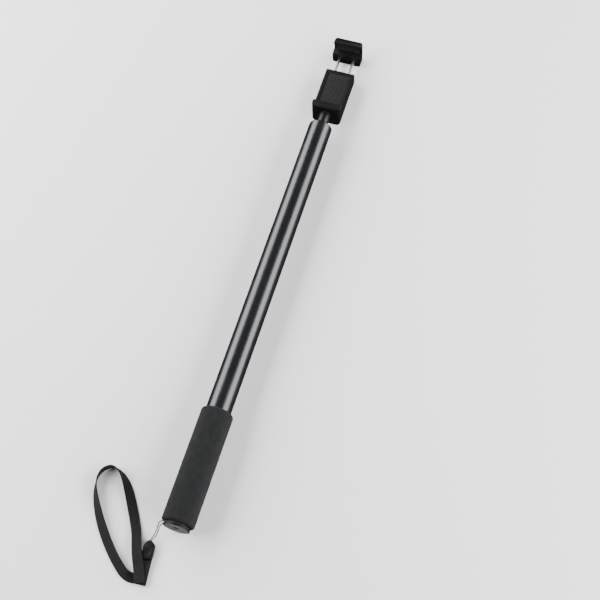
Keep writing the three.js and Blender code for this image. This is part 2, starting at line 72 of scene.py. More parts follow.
def z_of(z):
    return (z - AXIS_Z) / MM


def span(node):
    """A CAD node's start and end along the stick and half its width, in millimetres."""
    low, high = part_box(node)
    return s_of(low.x), s_of(high.x), (high.y - low.y) / 2 / MM


def heights(node):
    """A CAD node's lowest and highest z about the stick's axis, in millimetres."""
    return [z_of(corner.z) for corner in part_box(node)]


# ---------- camera ----------
CAMERA_PLACE = Vector((-0.54445, -0.2346, 1.1304))
CAMERA_RIGHT = Vector((0.2962, -0.9546, -0.0300)).normalized()
CAMERA_FORWARD = Vector((0.4143, 0.1567, -0.8965)).normalized()
CAMERA_LENS = 75.0
CAMERA_SENSOR = 36.0

camera_data = bpy.data.cameras.new("camera")
camera_data.lens = CAMERA_LENS
camera_data.sensor_width = CAMERA_SENSOR
camera_data.clip_start = 0.01
camera = bpy.data.objects.new("camera", camera_data)
camera_up = CAMERA_RIGHT.cross(CAMERA_FORWARD).normalized()
camera_right = CAMERA_FORWARD.cross(camera_up)
turn = Matrix((camera_right, camera_up, -CAMERA_FORWARD)).transposed()
camera.matrix_world = Matrix.Translation(CAMERA_PLACE) @ turn.to_4x4()
bpy.context.scene.collection.objects.link(camera)
bpy.context.scene.camera = camera


# ---------- materials ----------
class Graph:
    """A principled material and short calls for the nodes that vary its surface."""

    def __init__(self, name, color, roughness, metallic=0.0, **inputs):
        self.material = bpy.data.materials.new(name)
        self.material.use_nodes = True
        self.nodes = self.material.node_tree.nodes
        self.links = self.material.node_tree.links
        self.shader = self.nodes["Principled BSDF"]
        self.shader.inputs["Base Color"].default_value = (*color, 1)
        self.shader.inputs["Roughness"].default_value = roughness
        self.shader.inputs["Metallic"].default_value = metallic
        for key, value in inputs.items():
            self.shader.inputs[key.replace("_", " ")].default_value = value
        coordinates = self.add("ShaderNodeTexCoord")
        self.place = coordinates.outputs["Object"]
        self.uv = coordinates.outputs["UV"]

    def add(self, kind, **values):
        node = self.nodes.new(kind)
        for key, value in values.items():
            setattr(node, key, value)
        return node

    def feed(self, socket, value):
        if isinstance(value, bpy.types.NodeSocket):
            self.links.new(value, socket)
        else:
            socket.default_value = value

    def math(self, operation, first, second=0.0):
        node = self.add("ShaderNodeMath", operation=operation)
        self.feed(node.inputs[0], first)
        self.feed(node.inputs[1], second)
        return node.outputs[0]

    def scaled(self, kind, scale, vector=None):
        """A node that reads a vector, or the place on the object, at a scale."""
        node = self.add(kind)
        self.feed(node.inputs["Vector"], self.place if vector is None else vector)
        node.inputs["Scale"].default_value = scale
        return node

    def weighted(self, first, share, second, other):
        return self.math("ADD", self.math("MULTIPLY", first, share), self.math("MULTIPLY", second, other))

    def stretched(self, scale, vector=None):
        return self.scaled("ShaderNodeMapping", scale, vector).outputs[0]

    def noise(self, scale, detail=3.0, roughness=0.55, vector=None):
        node = self.scaled("ShaderNodeTexNoise", scale, vector)
        node.inputs["Detail"].default_value = detail
        node.inputs["Roughness"].default_value = roughness
        return node.outputs["Fac"]

    def cells(self, scale):
        return self.scaled("ShaderNodeTexVoronoi", scale).outputs["Distance"]

    def spread(self, value, low, high, to_low, to_high):
        node = self.add("ShaderNodeMapRange")
        self.feed(node.inputs["Value"], value)
        for key, number in zip(("From Min", "From Max", "To Min", "To Max"), (low, high, to_low, to_high)):
            node.inputs[key].default_value = number
        return node.outputs[0]

    def shade(self, value, dark, light):
        """Base colour running from dark to light with a value."""
        node = self.add("ShaderNodeMix", data_type="RGBA")
        self.feed(node.inputs["Factor"], value)
        node.inputs[6].default_value = (*dark, 1)
        node.inputs[7].default_value = (*light, 1)
        self.links.new(node.outputs[2], self.shader.inputs["Base Color"])

    def rough(self, value, smooth, coarse, low=0.3, high=0.7):
        self.links.new(self.spread(value, low, high, smooth, coarse), self.shader.inputs["Roughness"])

    def bump(self, height, distance, strength=1.0):
        """Adds a bump whose full height is distance in metres, on top of any earlier one."""
        node = self.add("ShaderNodeBump")
        node.inputs["Strength"].default_value = strength
        node.inputs["Distance"].default_value = distance
        self.feed(node.inputs["Height"], height)
        normal = self.shader.inputs["Normal"]
        if normal.links:
            self.links.new(normal.links[0].from_socket, node.inputs["Normal"])
        self.links.new(node.outputs["Normal"], normal)

    def painted_edge_highlight(self, dark, light, width=0.0004):
        """Painted highlight: lighter colour, in patches, where an edge stands out."""
        edge_bevel = self.add("ShaderNodeBevel", samples=4)
        edge_bevel.inputs["Radius"].default_value = width
        geometry = self.add("ShaderNodeNewGeometry")
        dot = self.add("ShaderNodeVectorMath", operation="DOT_PRODUCT")
        self.links.new(edge_bevel.outputs[0], dot.inputs[0])
        self.links.new(geometry.outputs["Normal"], dot.inputs[1])
        highlight_patches = self.math("MULTIPLY", self.spread(dot.outputs["Value"], 0.98, 0.86, 0, 1), self.noise(900))
        self.shade(highlight_patches, dark, light)


def anodised_tube(name, smooth, coarse, depth=1.0):
    """Black anodised aluminium: faint drawing lines along the tube and a slightly clouded gloss."""
    dark, light = ([c * depth for c in color] for color in ((0.050, 0.051, 0.055), (0.072, 0.073, 0.078)))
    g = Graph(name, light, smooth, 0.9)
    lines = g.noise(1, 4, 0.6, g.stretched((14, 2600, 2600)))
    cloud = g.noise(38, 3)
    g.shade(g.math("MULTIPLY", cloud, lines), dark, light)
    g.rough(g.weighted(lines, 0.5, cloud, 0.5), smooth, coarse, 0.25, 0.75)
    g.bump(lines, 0.000004)
    return g.material


def foam():
    """Closed-cell foam: fine skin grain, small pores and a soft bloom."""
    g = Graph("black_foam", (0.010, 0.0105, 0.011), 0.95,
              Specular_IOR_Level=0.2, Sheen_Weight=0.02, Sheen_Roughness=0.6)
    grain = g.noise(5200, 3, 0.6)
    pores = g.cells(1900)
    mottle = g.spread(g.math("ADD", grain, g.noise(160, 3)), 0.7, 1.3, 0, 1)
    g.shade(mottle, (0.0044, 0.0046, 0.0050), (0.0105, 0.011, 0.0117))
    g.rough(grain, 0.88, 1.0)
    g.bump(pores, 0.00011, 0.7)
    g.bump(grain, 0.00006, 0.7)
    return g.material


def moulded(name, dark, light, roughness, grain=0.000022, gloss=0.5):
    """Spark-eroded moulded plastic: fine even texture, handling marks and a painted highlight along the edges.
    """
    g = Graph(name, dark, roughness, Specular_IOR_Level=gloss)
    texture = g.noise(4200, 2, 0.5)
    handling = g.noise(130, 4, 0.6)
    # Painted highlight: the edges are made lighter in colour.
    g.painted_edge_highlight(dark, light)
    g.rough(g.weighted(texture, 0.4, handling, 0.6), roughness - 0.08, roughness + 0.1)
    g.bump(texture, grain)
    return g.material


def rubber():
    """Matt rubber with a dusty bloom."""
    g = Graph("black_rubber", (0.009, 0.009, 0.010), 0.8, Specular_IOR_Level=0.2, Sheen_Weight=0.02)
    dust = g.noise(700, 4, 0.65)
    g.shade(g.spread(dust, 0.35, 0.75, 0, 1), (0.005, 0.005, 0.0054), (0.0125, 0.0125, 0.0133))
    g.rough(dust, 0.72, 0.9)
    g.bump(g.noise(6500, 2), 0.00002)
    return g.material


def turned_metal(name, dark, light, roughness, metallic=1.0, marks=(1, 1, 1)):
    """Machined or drawn metal with tool marks stretched across the given directions."""
    g = Graph(name, light, roughness, metallic)
    lines = g.noise(1, 5, 0.65, g.stretched(marks))
    stains = g.noise(420, 3)
    g.shade(g.math("MULTIPLY", lines, g.spread(stains, 0.2, 0.8, 0.5, 1.4)), dark, light)
    g.rough(lines, roughness - 0.07, roughness + 0.1)
    g.bump(lines, 0.000006)
    return g.material


def disc_face():
    """Satin grey paint on a turned face."""
    g = Graph("grey_disc", (0.17, 0.17, 0.178), 0.42, 0.25)
    cloud = g.noise(260, 4, 0.6)
    g.shade(cloud, (0.125, 0.126, 0.131), (0.185, 0.186, 0.193))
    g.rough(g.noise(900, 3), 0.34, 0.5)
    g.bump(g.noise(5200, 2), 0.00001)
    return g.material


def woven(name, dark, light, across, along, relief):
    """Woven nylon from the strap's own map: u runs across it and v along it, both in metres."""
    g = Graph(name, dark, 0.82, Specular_IOR_Level=0.2, Sheen_Weight=0.04, Sheen_Roughness=0.45)
    split = g.add("ShaderNodeSeparateXYZ")
    g.links.new(g.uv, split.inputs[0])
    u, v = split.outputs[0], split.outputs[1]
    warp = g.math("MULTIPLY", u, 2 * math.pi / across)
    weft = g.math("MULTIPLY", v, 2 * math.pi / along)
    rising = g.math("SINE", g.math("ADD", warp, weft))
    falling = g.math("SINE", g.math("SUBTRACT", warp, weft))
    over = g.math("MULTIPLY", rising, falling)
    ribs = g.math("ABSOLUTE", g.math("SINE", warp))
    fibres = g.noise(1, 3, 0.7, g.stretched((26000, 5200, 1), g.uv))
    fuzz = g.math("ADD", ribs, g.math("MULTIPLY", fibres, 0.35))
    height = g.math("ADD", g.math("MULTIPLY", over, 0.5), fuzz)
    # Painted shade and highlight: the colour is darker in the weave's hollows and lighter on its raised
    # threads, with random fibre tone on top.
    g.shade(g.spread(height, 0.0, 1.7, 0, 1), dark, light)
    g.rough(fibres, 0.7, 0.92)
    g.bump(height, relief)
    return g.material


TUBE_BLACK = anodised_tube("gloss_black_metal", 0.23, 0.33)
NECK_BLACK = anodised_tube("satin_black_metal", 0.36, 0.48, 0.45)
FOAM = foam()
PLASTIC = moulded("black_plastic", (0.0036, 0.0037, 0.0039), (0.025, 0.025, 0.0265), 0.46, gloss=0.18)
GREY_PLASTIC = moulded("grey_plastic", (0.16, 0.162, 0.168), (0.3, 0.3, 0.31), 0.4)
NYLON = moulded("white_nylon", (0.62, 0.60, 0.55), (0.75, 0.73, 0.68), 0.5, 0.00001)
RUBBER = rubber()
BRASS = turned_metal("brass", (0.42, 0.27, 0.09), (0.66, 0.46, 0.2), 0.3, marks=(9000, 300, 300))
STEEL = turned_metal("steel", (0.42, 0.42, 0.43), (0.62, 0.63, 0.64), 0.22, marks=(500, 5000, 5000))
SPRING_STEEL = turned_metal("spring_steel", (0.22, 0.22, 0.23), (0.42, 0.43, 0.44), 0.34,
                            marks=(2500, 2500, 2500))
BLACK_STEEL = turned_metal("black_steel", (0.012, 0.012, 0.013), (0.035, 0.035, 0.036), 0.38, 0.8,
                           (3000, 3000, 400))
DISC = disc_face()
WEBBING = woven("black_webbing", (0.0022, 0.0023, 0.0026), (0.0095, 0.0098, 0.0105), 0.00082, 0.0011, 0.00009)
CORD = woven("black_cord", (0.012, 0.012, 0.013), (0.075, 0.076, 0.08), 0.0005, 0.0009, 0.00005)
THREAD = woven("black_thread", (0.008, 0.008, 0.009), (0.035, 0.035, 0.037), 0.00012, 0.0004, 0.00002)


# ---------- meshes ----------
SMOOTH_ANGLE = math.radians(38)


def finished(name, mesh, body, material, nodes=()):
    """An object from a mesh, shaded and riding on its body in place of its CAD nodes.

    Its one slot holds the material.
    Flat faces with many corners shade flat.
    """
    mesh.name = name
    obj = bpy.data.objects.new(name, mesh)
    bpy.context.scene.collection.objects.link(obj)
    mesh.materials.clear()
    mesh.materials.append(material)
    mesh.polygons.foreach_set("use_smooth", [len(polygon.vertices) <= 4 for polygon in mesh.polygons])
    mesh.set_sharp_from_angle(angle=SMOOTH_ANGLE)
    if body:
        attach(obj, body)
    if nodes:
        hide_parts(*nodes)
    return obj


def to_mesh(verts, faces, uvs=None, weld=False):
    mesh = bpy.data.meshes.new("shape")
    mesh.from_pydata([tuple(v) for v in verts], [], faces)
    if uvs:
        layer = mesh.uv_layers.new(name="UVMap")
        for loop in mesh.loops:
            layer.data[loop.index].uv = uvs[loop.vertex_index]
    mesh.validate()
    bm = bmesh.new()
    bm.from_mesh(mesh)
    if weld:
        bmesh.ops.remove_doubles(bm, verts=bm.verts, dist=1e-7)
        bmesh.ops.dissolve_degenerate(bm, edges=bm.edges, dist=1e-8)
    bmesh.ops.recalc_face_normals(bm, faces=bm.faces)
    bm.to_mesh(mesh)
    bm.free()
    return mesh


def ringed(verts, count, uvs=None):
    """A closed mesh through rings of count points each, with a cap on the first and the last."""
    faces = []
    last = len(verts) - count
    for i in range(0, last, count):
        for k in range(count):
            n = (k + 1) % count
            faces.append((i + k, i + n, i + count + n, i + count + k))
    faces.append(list(range(count))[::-1])
    faces.append(list(range(last, last + count)))
    return to_mesh(verts, faces, uvs)


def bend(enter, corner, leave, steps):
    """Points of the curve that rounds a corner between two places on its sides."""
    shares = [k / steps for k in range(steps + 1)]
    return [tuple(enter * (1 - t) ** 2 + corner * 2 * t * (1 - t) + leave * t * t) for t in shares]


def arc(s, r, radius, start, end, steps):
    """Outline points of part of a circle about (s, r), from one angle to another in degrees."""
    angles = [math.radians(start + (end - start) * i / steps) for i in range(steps + 1)]
    return [(s + radius * math.cos(a), r + radius * math.sin(a)) for a in angles]


def eased(outline, size=0.15, steps=3, closed=True):
    """The outline with each distinct corner rounded by up to size."""
    out = []
    count = len(outline)
    for i, point in enumerate(outline):
        if not closed and i in (0, count - 1):
            out.append(point)
            continue
        here = Vector(point)
        before = Vector(outline[i - 1]) - here
        after = Vector(outline[(i + 1) % count]) - here
        if before.length < 1e-6 or after.length < 1e-6 or before.angle(after) > math.radians(150):
            out.append(point)
            continue
        reach = min(size, 0.4 * before.length, 0.4 * after.length)
        enter = here + before.normalized() * reach
        leave = here + after.normalized() * reach
        out += bend(enter, here, leave, steps)
    return out


def turned(outline, steps=96, place=None, sweep=1.0):
    """A mesh turned about the stick's axis from a closed outline of (s, radius) in millimetres.

    A radius may be a function of the angle. place sets it elsewhere. A sweep below 1 leaves a slit.
    """
    whole = sweep >= 1
    columns = steps if whole else steps + 1
    verts, faces = [], []
    for s, r in outline:
        for k in range(columns):
            a = 2 * math.pi * sweep * k / steps
            radius = r(a) if callable(r) else r
            verts.append(Vector((s, radius * math.cos(a), radius * math.sin(a))) * MM)
    rows = len(outline)
    on_axis = outline[0][1] == 0 and outline[-1][1] == 0
    for i in range(rows - 1 if on_axis else rows):
        j = (i + 1) % rows
        for k in range(steps):
            n = (k + 1) % columns if whole else k + 1
            faces.append((i * columns + k, i * columns + n, j * columns + n, j * columns + k))
    if not whole:
        faces.append([i * columns for i in range(rows)])
        faces.append([i * columns + steps for i in range(rows)][::-1])
    matrix = place or Matrix.Translation(local(0, 0, 0))
    return to_mesh([matrix @ v for v in verts], faces, weld=True)


def thread(s, start, end, root, crest, pitch, chamfer):
    """Radius of a thread at s as a function of the angle, faded out over a chamfer at each end."""
    fade = max(0.0, min(1.0, (s - start) / chamfer, (end - s) / chamfer))

    def radius(angle):
        phase = (s / pitch - angle / (2 * math.pi)) % 1.0
        height = min(1.0, max(0.0, 1.25 - 2.9 * abs(phase - 0.5)))
        return root + (crest - root) * height * fade

    return radius


def threaded_rows(start, end, root, crest, pitch=1.27, chamfer=0.5, rows_per_turn=12):
    count = max(2, round((end - start) / pitch * rows_per_turn))
    places = [start + (end - start) * i / count for i in range(count + 1)]
    return [(s, thread(s, start, end, root, crest, pitch, chamfer)) for s in places]


def corners(points, steps=7):
    """A flat outline from (a, b, round) corners. Round is how far from the corner its curve starts."""
    out = []
    for i, (a, b, round_) in enumerate(points):
        here = Vector((a, b))
        if round_ == 0:
            out.append((a, b))
            continue
        before = Vector(points[i - 1][:2]) - here
        after = Vector(points[(i + 1) % len(points)][:2]) - here
        enter = here + before.normalized() * round_
        leave = here + after.normalized() * round_
        out += bend(enter, here, leave, steps)
    return out


def tapered(low, high, half, low_round, high_round):
    """A rectangle from low to high and half to each side, its corners rounded at each end."""
    return corners([
        (low, -half, low_round), (high, -half, high_round), (high, half, high_round), (low, half, low_round),
    ])


PRISM_AXES = {
    "x": lambda a, b, c: (c, a, b),
    "y": lambda a, b, c: (a, c, b),
    "z": lambda a, b, c: (a, b, c),
}


def prism(shape, axis, low, high):
    """A flat outline run along an axis. Its own axes are (y, z), (s, z) or (s, y)."""
    order = PRISM_AXES[axis]
    return ringed([local(*order(a, b, c)) for c in (low, high) for a, b in shape], len(shape))


def ring(start, end, inner, outer):
    """The outline of a plain ring, or of a rod when inner is 0."""
    return [(start, inner), (start, outer), (end, outer), (end, inner)]


def rod(s0, s1, radius, y=0.0, z=0.0):
    return turned(ring(s0, s1, 0, radius), 40, Matrix.Translation(local(0, y, z)))


def upright(s, y, z):
    """A placing that turns the axis of a turned piece upwards at a point."""
    return Matrix.Translation(local(s, y, z)) @ Matrix.Rotation(-math.pi / 2, 4, "Y")


def helper_object(mesh):
    obj = bpy.data.objects.new("helper", mesh)
    bpy.context.scene.collection.objects.link(obj)
    return obj


def applied(obj, *helpers):
    """The object's mesh with its modifiers applied, once the object and its helpers are removed."""
    bpy.context.view_layer.update()
    graph = bpy.context.evaluated_depsgraph_get()
    result = bpy.data.meshes.new_from_object(obj.evaluated_get(graph))
    for helper in (obj, *helpers):
        bpy.data.objects.remove(helper)
    return result


def boolean(base, tools, operation="DIFFERENCE"):
    """The base mesh after every tool has been cut from it, joined to it or intersected with it."""
    obj = helper_object(base)
    helpers = []
    for tool in tools:
        helper = helper_object(tool)
        modifier = obj.modifiers.new("cut", "BOOLEAN")
        modifier.operation = operation
        modifier.solver = "EXACT"
        modifier.object = helper
        helpers.append(helper)
    return applied(obj, *helpers)


def bevelled(mesh, width, segments=3, angle=32):
    """The mesh with its flat faces joined up and its sharp edges rounded."""
    bm = bmesh.new()
    bm.from_mesh(mesh)
    bmesh.ops.remove_doubles(bm, verts=bm.verts, dist=2e-6)
    bmesh.ops.dissolve_limit(bm, angle_limit=math.radians(0.6), verts=bm.verts, edges=bm.edges)
    bm.to_mesh(mesh)
    bm.free()
    obj = helper_object(mesh)
    modifier = obj.modifiers.new("bevel", "BEVEL")
    modifier.width = width * MM
    modifier.segments = segments
    modifier.limit_method = "ANGLE"
    modifier.angle_limit = math.radians(angle)
    modifier.use_clamp_overlap = True
    modifier.miter_outer = "MITER_ARC"
    return applied(obj)


def joined(meshes):
    bm = bmesh.new()
    for mesh in meshes:
        bm.from_mesh(mesh)
    result = bpy.data.meshes.new("joined")
    bm.to_mesh(result)
    bm.free()
    return result


def catmull(points, samples):
    """Evenly spaced places and tangents on a centripetal Catmull-Rom curve through the points."""
    pts = [Vector(p) for p in points]
    pts = [pts[0] * 2 - pts[1], *pts, pts[-1] * 2 - pts[-2]]
    dense = []
    for i in range(1, len(pts) - 2):
        p0, p1, p2, p3 = pts[i - 1:i + 3]
        t0 = 0.0
        t1 = t0 + math.sqrt((p1 - p0).length)
        t2 = t1 + math.sqrt((p2 - p1).length)
        t3 = t2 + math.sqrt((p3 - p2).length)
        for k in range(40):
            t = t1 + (t2 - t1) * k / 40

            def between(p, q, tp, tq):
                return p * ((tq - t) / (tq - tp)) + q * ((t - tp) / (tq - tp))

            middle = between(p1, p2, t1, t2)
            near = between(between(p0, p1, t0, t1), middle, t0, t2)
            far = between(middle, between(p2, p3, t2, t3), t1, t3)
            dense.append(between(near, far, t1, t2))
    dense.append(pts[-2])
    reach = [0.0]
    for a, b in zip(dense, dense[1:]):
        reach.append(reach[-1] + (b - a).length)
    out, at = [], 0
    for i in range(samples + 1):
        want = reach[-1] * i / samples
        while at < len(reach) - 2 and reach[at + 1] < want:
            at += 1
        gap = reach[at + 1] - reach[at]
        out.append(dense[at].lerp(dense[at + 1], (want - reach[at]) / gap if gap else 0))
    return out, reach[-1]


# ---------- wrist strap ----------
CORD_DIAMETER_MM = 1.1
CORD_SIDES = 20
CORD_RINGS = 760
BRAID_STRANDS = 5
BRAID_TURN_MM = 4.4
BRAID_RELIEF = 0.13
# s, y and height above the ground, in millimetres: the part's own route round the cap's groove.
CORD_ROUTE_MM = [
    (-14.2, 21.8, 2.9), (-11.8, 21.1, 3.2), (-8.4, 19.7, 4.6), (-5.3, 18.6, 7.4), (-1.2, 17.9, 11.6),
    (1.9, 16.5, 16), (2.75, 13.4, 19.3), (2.75, 9.9, 21.9), (2.75, 5.5, 25.6), (2.75, 0, 27.05),
    (2.75, -5.5, 25.6), (2.75, -9.6, 21.5), (2.75, -11.05, 16), (2.75, -9.6, 10.5), (2.75, -5.5, 6.4),
    (2.75, 0, 4.85), (2.75, 5.6, 6.2), (2.75, 10.4, 9), (2.2, 14.6, 10.7), (-0.8, 16.7, 9.2),
    (-4.2, 17.1, 6.3), (-7.6, 17.9, 3.6), (-11, 19.2, 2.4), (-14.2, 20.6, 2.9),
]

STRAP_WIDTH_MM = 9.6
STRAP_THICKNESS_MM = 1.2
STRAP_RIBS = 11
STRAP_COLUMNS = 4 * STRAP_RIBS
STRAP_RINGS = 620
STRAP_RIB_MM = 0.07
GROUND_GAP_MM = 0.02
# s, y, lift above lying on the ground in millimetres, and roll in degrees: the part's own route.
LOOP_ROUTE_MM = [
    (-54, 17, 4.3, 0), (-47.3, 20.6, 4.4, 0), (-39.6, 24, 5, 0), (-31.4, 28, 6.2, 0), (-22.7, 31.8, 5, 0),
    (-11, 36.8, 1.6, 4), (1.5, 43.6, 0.1, 8), (13, 50.4, 0.02, 13), (24, 57.2, 0.02, 26),
    (33.5, 64.4, 0.02, 50), (40, 72, 0.02, 74), (42, 80.4, 0.02, 86), (37, 87.6, 0.02, 88),
    (28.5, 90.2, 0.02, 82), (18, 88.6, 0.02, 68), (7, 83.6, 0.02, 50), (-4, 77, 0.02, 35),
    (-15, 69.2, 0.02, 25), (-26, 60.2, 0.02, 20), (-36.4, 50.4, 0.02, 20), (-44.8, 41, 0.02, 20),
    (-49.8, 34, 0.02, 15), (-51.4, 27.6, 0.02, 4), (-50.8, 21.5, 0.02, 0), (-50.4, 12.6, 0.02, 0),
]
TAB_START_MM = Vector((-32.4, 18.5))
TAB_END_MM = Vector((-55.5, 15.9))
TAB_THICKNESS_MM = 2.4
TAB_HEIGHT_MM = 2.75
NOSE_MM = Vector((-14.6, 21.2))
CONNECTOR_LENGTH_MM = 17.4
CONNECTOR_WIDTH_MM = 10.4
CONNECTOR_THICKNESS_MM = 5.4
CONNECTOR_GAP_MM = 0.1
AXIS_HEIGHT_MM = AXIS_Z / MM


def grounded(s, y, height):
    """A point in the row frame from millimetres with the height taken from the ground."""
    return local(s, y, height - AXIS_HEIGHT_MM)


def strap_cord():
    """A braided cord: a tube whose radius rises where strands of two opposite twists cross."""
    path, length = catmull([Vector(p) for p in CORD_ROUTE_MM], CORD_RINGS)
    verts, uvs = [], []
    normal = Vector((0, 0, 1))
    base = CORD_DIAMETER_MM / 2
    for i, point in enumerate(path):
        ahead = (path[min(i + 1, CORD_RINGS)] - path[max(i - 1, 0)]).normalized()
        normal = (normal - ahead * normal.dot(ahead)).normalized()
        side = ahead.cross(normal)
        run = length * i / CORD_RINGS
        for k in range(CORD_SIDES):
            a = 2 * math.pi * k / CORD_SIDES
            twist = 2 * math.pi * run / BRAID_TURN_MM
            strands = [abs(math.cos(BRAID_STRANDS * (a + way * twist) / 2)) for way in (1, -1)]
            radius = base * (1 - BRAID_RELIEF * (1 - max(strands)) / 0.3)
            offset = (normal * math.cos(a) + side * math.sin(a)) * radius
            verts.append(grounded(*(point + offset)))
            uvs.append((a * base * MM, run * MM))
    mesh = ringed(verts, CORD_SIDES, uvs)
    obj = finished("strap_cord_braid", mesh, "grip", CORD, ["strap_cord"])
    return obj, [grounded(*p) for p in path[::8]]


def strap_section(width, thickness, columns, rib):
    """Points round a woven band's cross-section with rounded selvedges and ribs along it."""
    half, edge = width / 2, thickness / 2
    flat = half - edge
    top = []
    for k in range(columns + 1):
        across = -flat + 2 * flat * k / columns
        wave = rib * (0.5 - 0.5 * math.cos(2 * math.pi * STRAP_RIBS * k / columns))
        top.append((across, edge - rib + wave))
    right = [(flat + edge * math.sin(a), (edge - rib) * math.cos(a)) for a in (0.52, 1.05, 1.57, 2.09, 2.62)]
    bottom = [(a, -b) for a, b in reversed(top)]
    left = [(-a, -b) for a, b in right]
    return top + right + bottom + left


def band(rings, section, weave=0.0):
    """A band through rings of (centre, side, face, distance run) in millimetres, with its map."""
    verts, uvs = [], []
    for centre, side, face, run in rings:
        for k, (a, b) in enumerate(section):
            swell = 1 + weave * math.sin(math.pi * run + (k % 4) * math.pi / 2)
            verts.append(grounded(*(centre + side * a + face * b * swell)))
            uvs.append((a * MM, run * MM))
    return ringed(verts, len(section), uvs)


def strap_webbing():
    places, length = catmull([Vector((s, y, lift)) for s, y, lift, _ in LOOP_ROUTE_MM], STRAP_RINGS)
    rolls, _ = catmull([Vector((s, y, math.radians(roll))) for s, y, _, roll in LOOP_ROUTE_MM], STRAP_RINGS)
    rings, centres = [], []
    for i, place in enumerate(places):
        ahead = (places[min(i + 1, STRAP_RINGS)] - places[max(i - 1, 0)]).normalized()
        roll = max(rolls[i].z, 0)
        flat_side = Vector((0, 0, 1)).cross(ahead).normalized()
        side = Matrix.Rotation(roll, 3, ahead) @ flat_side
        face = ahead.cross(side)
        rise = math.sin(roll) * STRAP_WIDTH_MM / 2 + math.cos(roll) * STRAP_THICKNESS_MM / 2
        centre = Vector((place.x, place.y, max(place.z, GROUND_GAP_MM) + rise))
        rings.append((centre, side, face, length * i / STRAP_RINGS))
        centres.append(grounded(*centre))
    section = strap_section(STRAP_WIDTH_MM, STRAP_THICKNESS_MM, STRAP_COLUMNS, STRAP_RIB_MM)
    mesh = band(rings, section, 0.03)
    obj = finished("strap_loop", mesh, "grip", WEBBING, ["strap_webbing"])
    return obj, centres[::6], length * MM


tab_ahead = (TAB_END_MM - TAB_START_MM).normalized()
tab_side = Vector((-tab_ahead.y, tab_ahead.x))
TAB_LENGTH_MM = (TAB_END_MM - TAB_START_MM).length
TAB_RINGS = 60


def tab_point(along, across, height):
    """A point on the tab in millimetres: from its start, across it and above the ground."""
    return grounded(*(TAB_START_MM + tab_ahead * along + tab_side * across), height)


def strap_tab():
    """Two layers of webbing folded at the far end and sewn together."""
    rings = []
    side = tab_side.to_3d()
    for i in range(TAB_RINGS + 1):
        run = TAB_LENGTH_MM * i / TAB_RINGS
        at = TAB_START_MM + tab_ahead * run
        near_end = max(0.0, 1 - (TAB_LENGTH_MM - run) / 1.2)
        thin = math.sqrt(max(0.0, 1 - near_end ** 2)) * 0.75 + 0.25
        rings.append((Vector((at.x, at.y, TAB_HEIGHT_MM)), side, Vector((0, 0, thin)), run))
    section = strap_section(STRAP_WIDTH_MM, TAB_THICKNESS_MM, STRAP_COLUMNS, STRAP_RIB_MM)
    squared = []
    for a, b in section:
        pinch = 0.72 if abs(b) < 0.2 else 1.0
        half = STRAP_WIDTH_MM / 2
        squared.append((max(-half, min(half, a)) - math.copysign(1 - pinch, a) * 0.6, b))
    return finished("strap_fold", band(rings, squared), "grip", WEBBING, ["strap_tab"])


def capsule(start, end, radius, sides=8):
    """A short bar of thread between two points, with rounded ends that dip down into the cloth."""
    ahead = (end - start).normalized()
    side = Vector((0, 0, 1)).cross(ahead).normalized()
    up = ahead.cross(side)
    verts, uvs = [], []
    rows = 7
    for i in range(rows):
        t = i / (rows - 1)
        swell = math.sin(math.pi * min(max(t, 0.04), 0.96)) ** 0.4
        centre = start.lerp(end, t) - up * radius * 0.9 * (1 - swell)
        for k in range(sides):
            a = 2 * math.pi * k / sides
            verts.append(centre + (side * math.cos(a) + up * math.sin(a)) * radius * swell)
            uvs.append((a * radius, t * (end - start).length))
    return ringed(verts, sides, uvs)


STITCH_MM = 1.5
STITCH_GAP_MM = 0.5
STITCH_RADIUS_MM = 0.17
SEAM_INSET_MM = 1.6


def strap_stitches():
    """Two rows of stitches along the tab, a row across each end and a cross between them."""
    near, far = 3.0, TAB_LENGTH_MM - 6.6
    edge = STRAP_WIDTH_MM / 2 - SEAM_INSET_MM
    lines = [
        ((near, -edge), (far, -edge)), ((near, edge), (far, edge)),
        ((near, -edge), (near, edge)), ((far, -edge), (far, edge)),
        ((near, -edge), (far, edge)), ((near, edge), (far, -edge)),
    ]
    top = TAB_HEIGHT_MM + TAB_THICKNESS_MM / 2 - 0.02
    bottom = TAB_HEIGHT_MM - TAB_THICKNESS_MM / 2 + 0.02
    meshes = []
    for a, b in lines:
        a, b = Vector(a), Vector(b)
        count = round((b - a).length / (STITCH_MM + STITCH_GAP_MM))
        for i in range(count):
            start = a.lerp(b, (i + 0.12) / count)
            end = a.lerp(b, (i + 0.88) / count)
            for height in (top, bottom):
                ends = [tab_point(*place, height) for place in (start, end)]
                meshes.append(capsule(*ends, STITCH_RADIUS_MM * MM))
    return finished("strap_stitches", joined(meshes), "grip", THREAD)


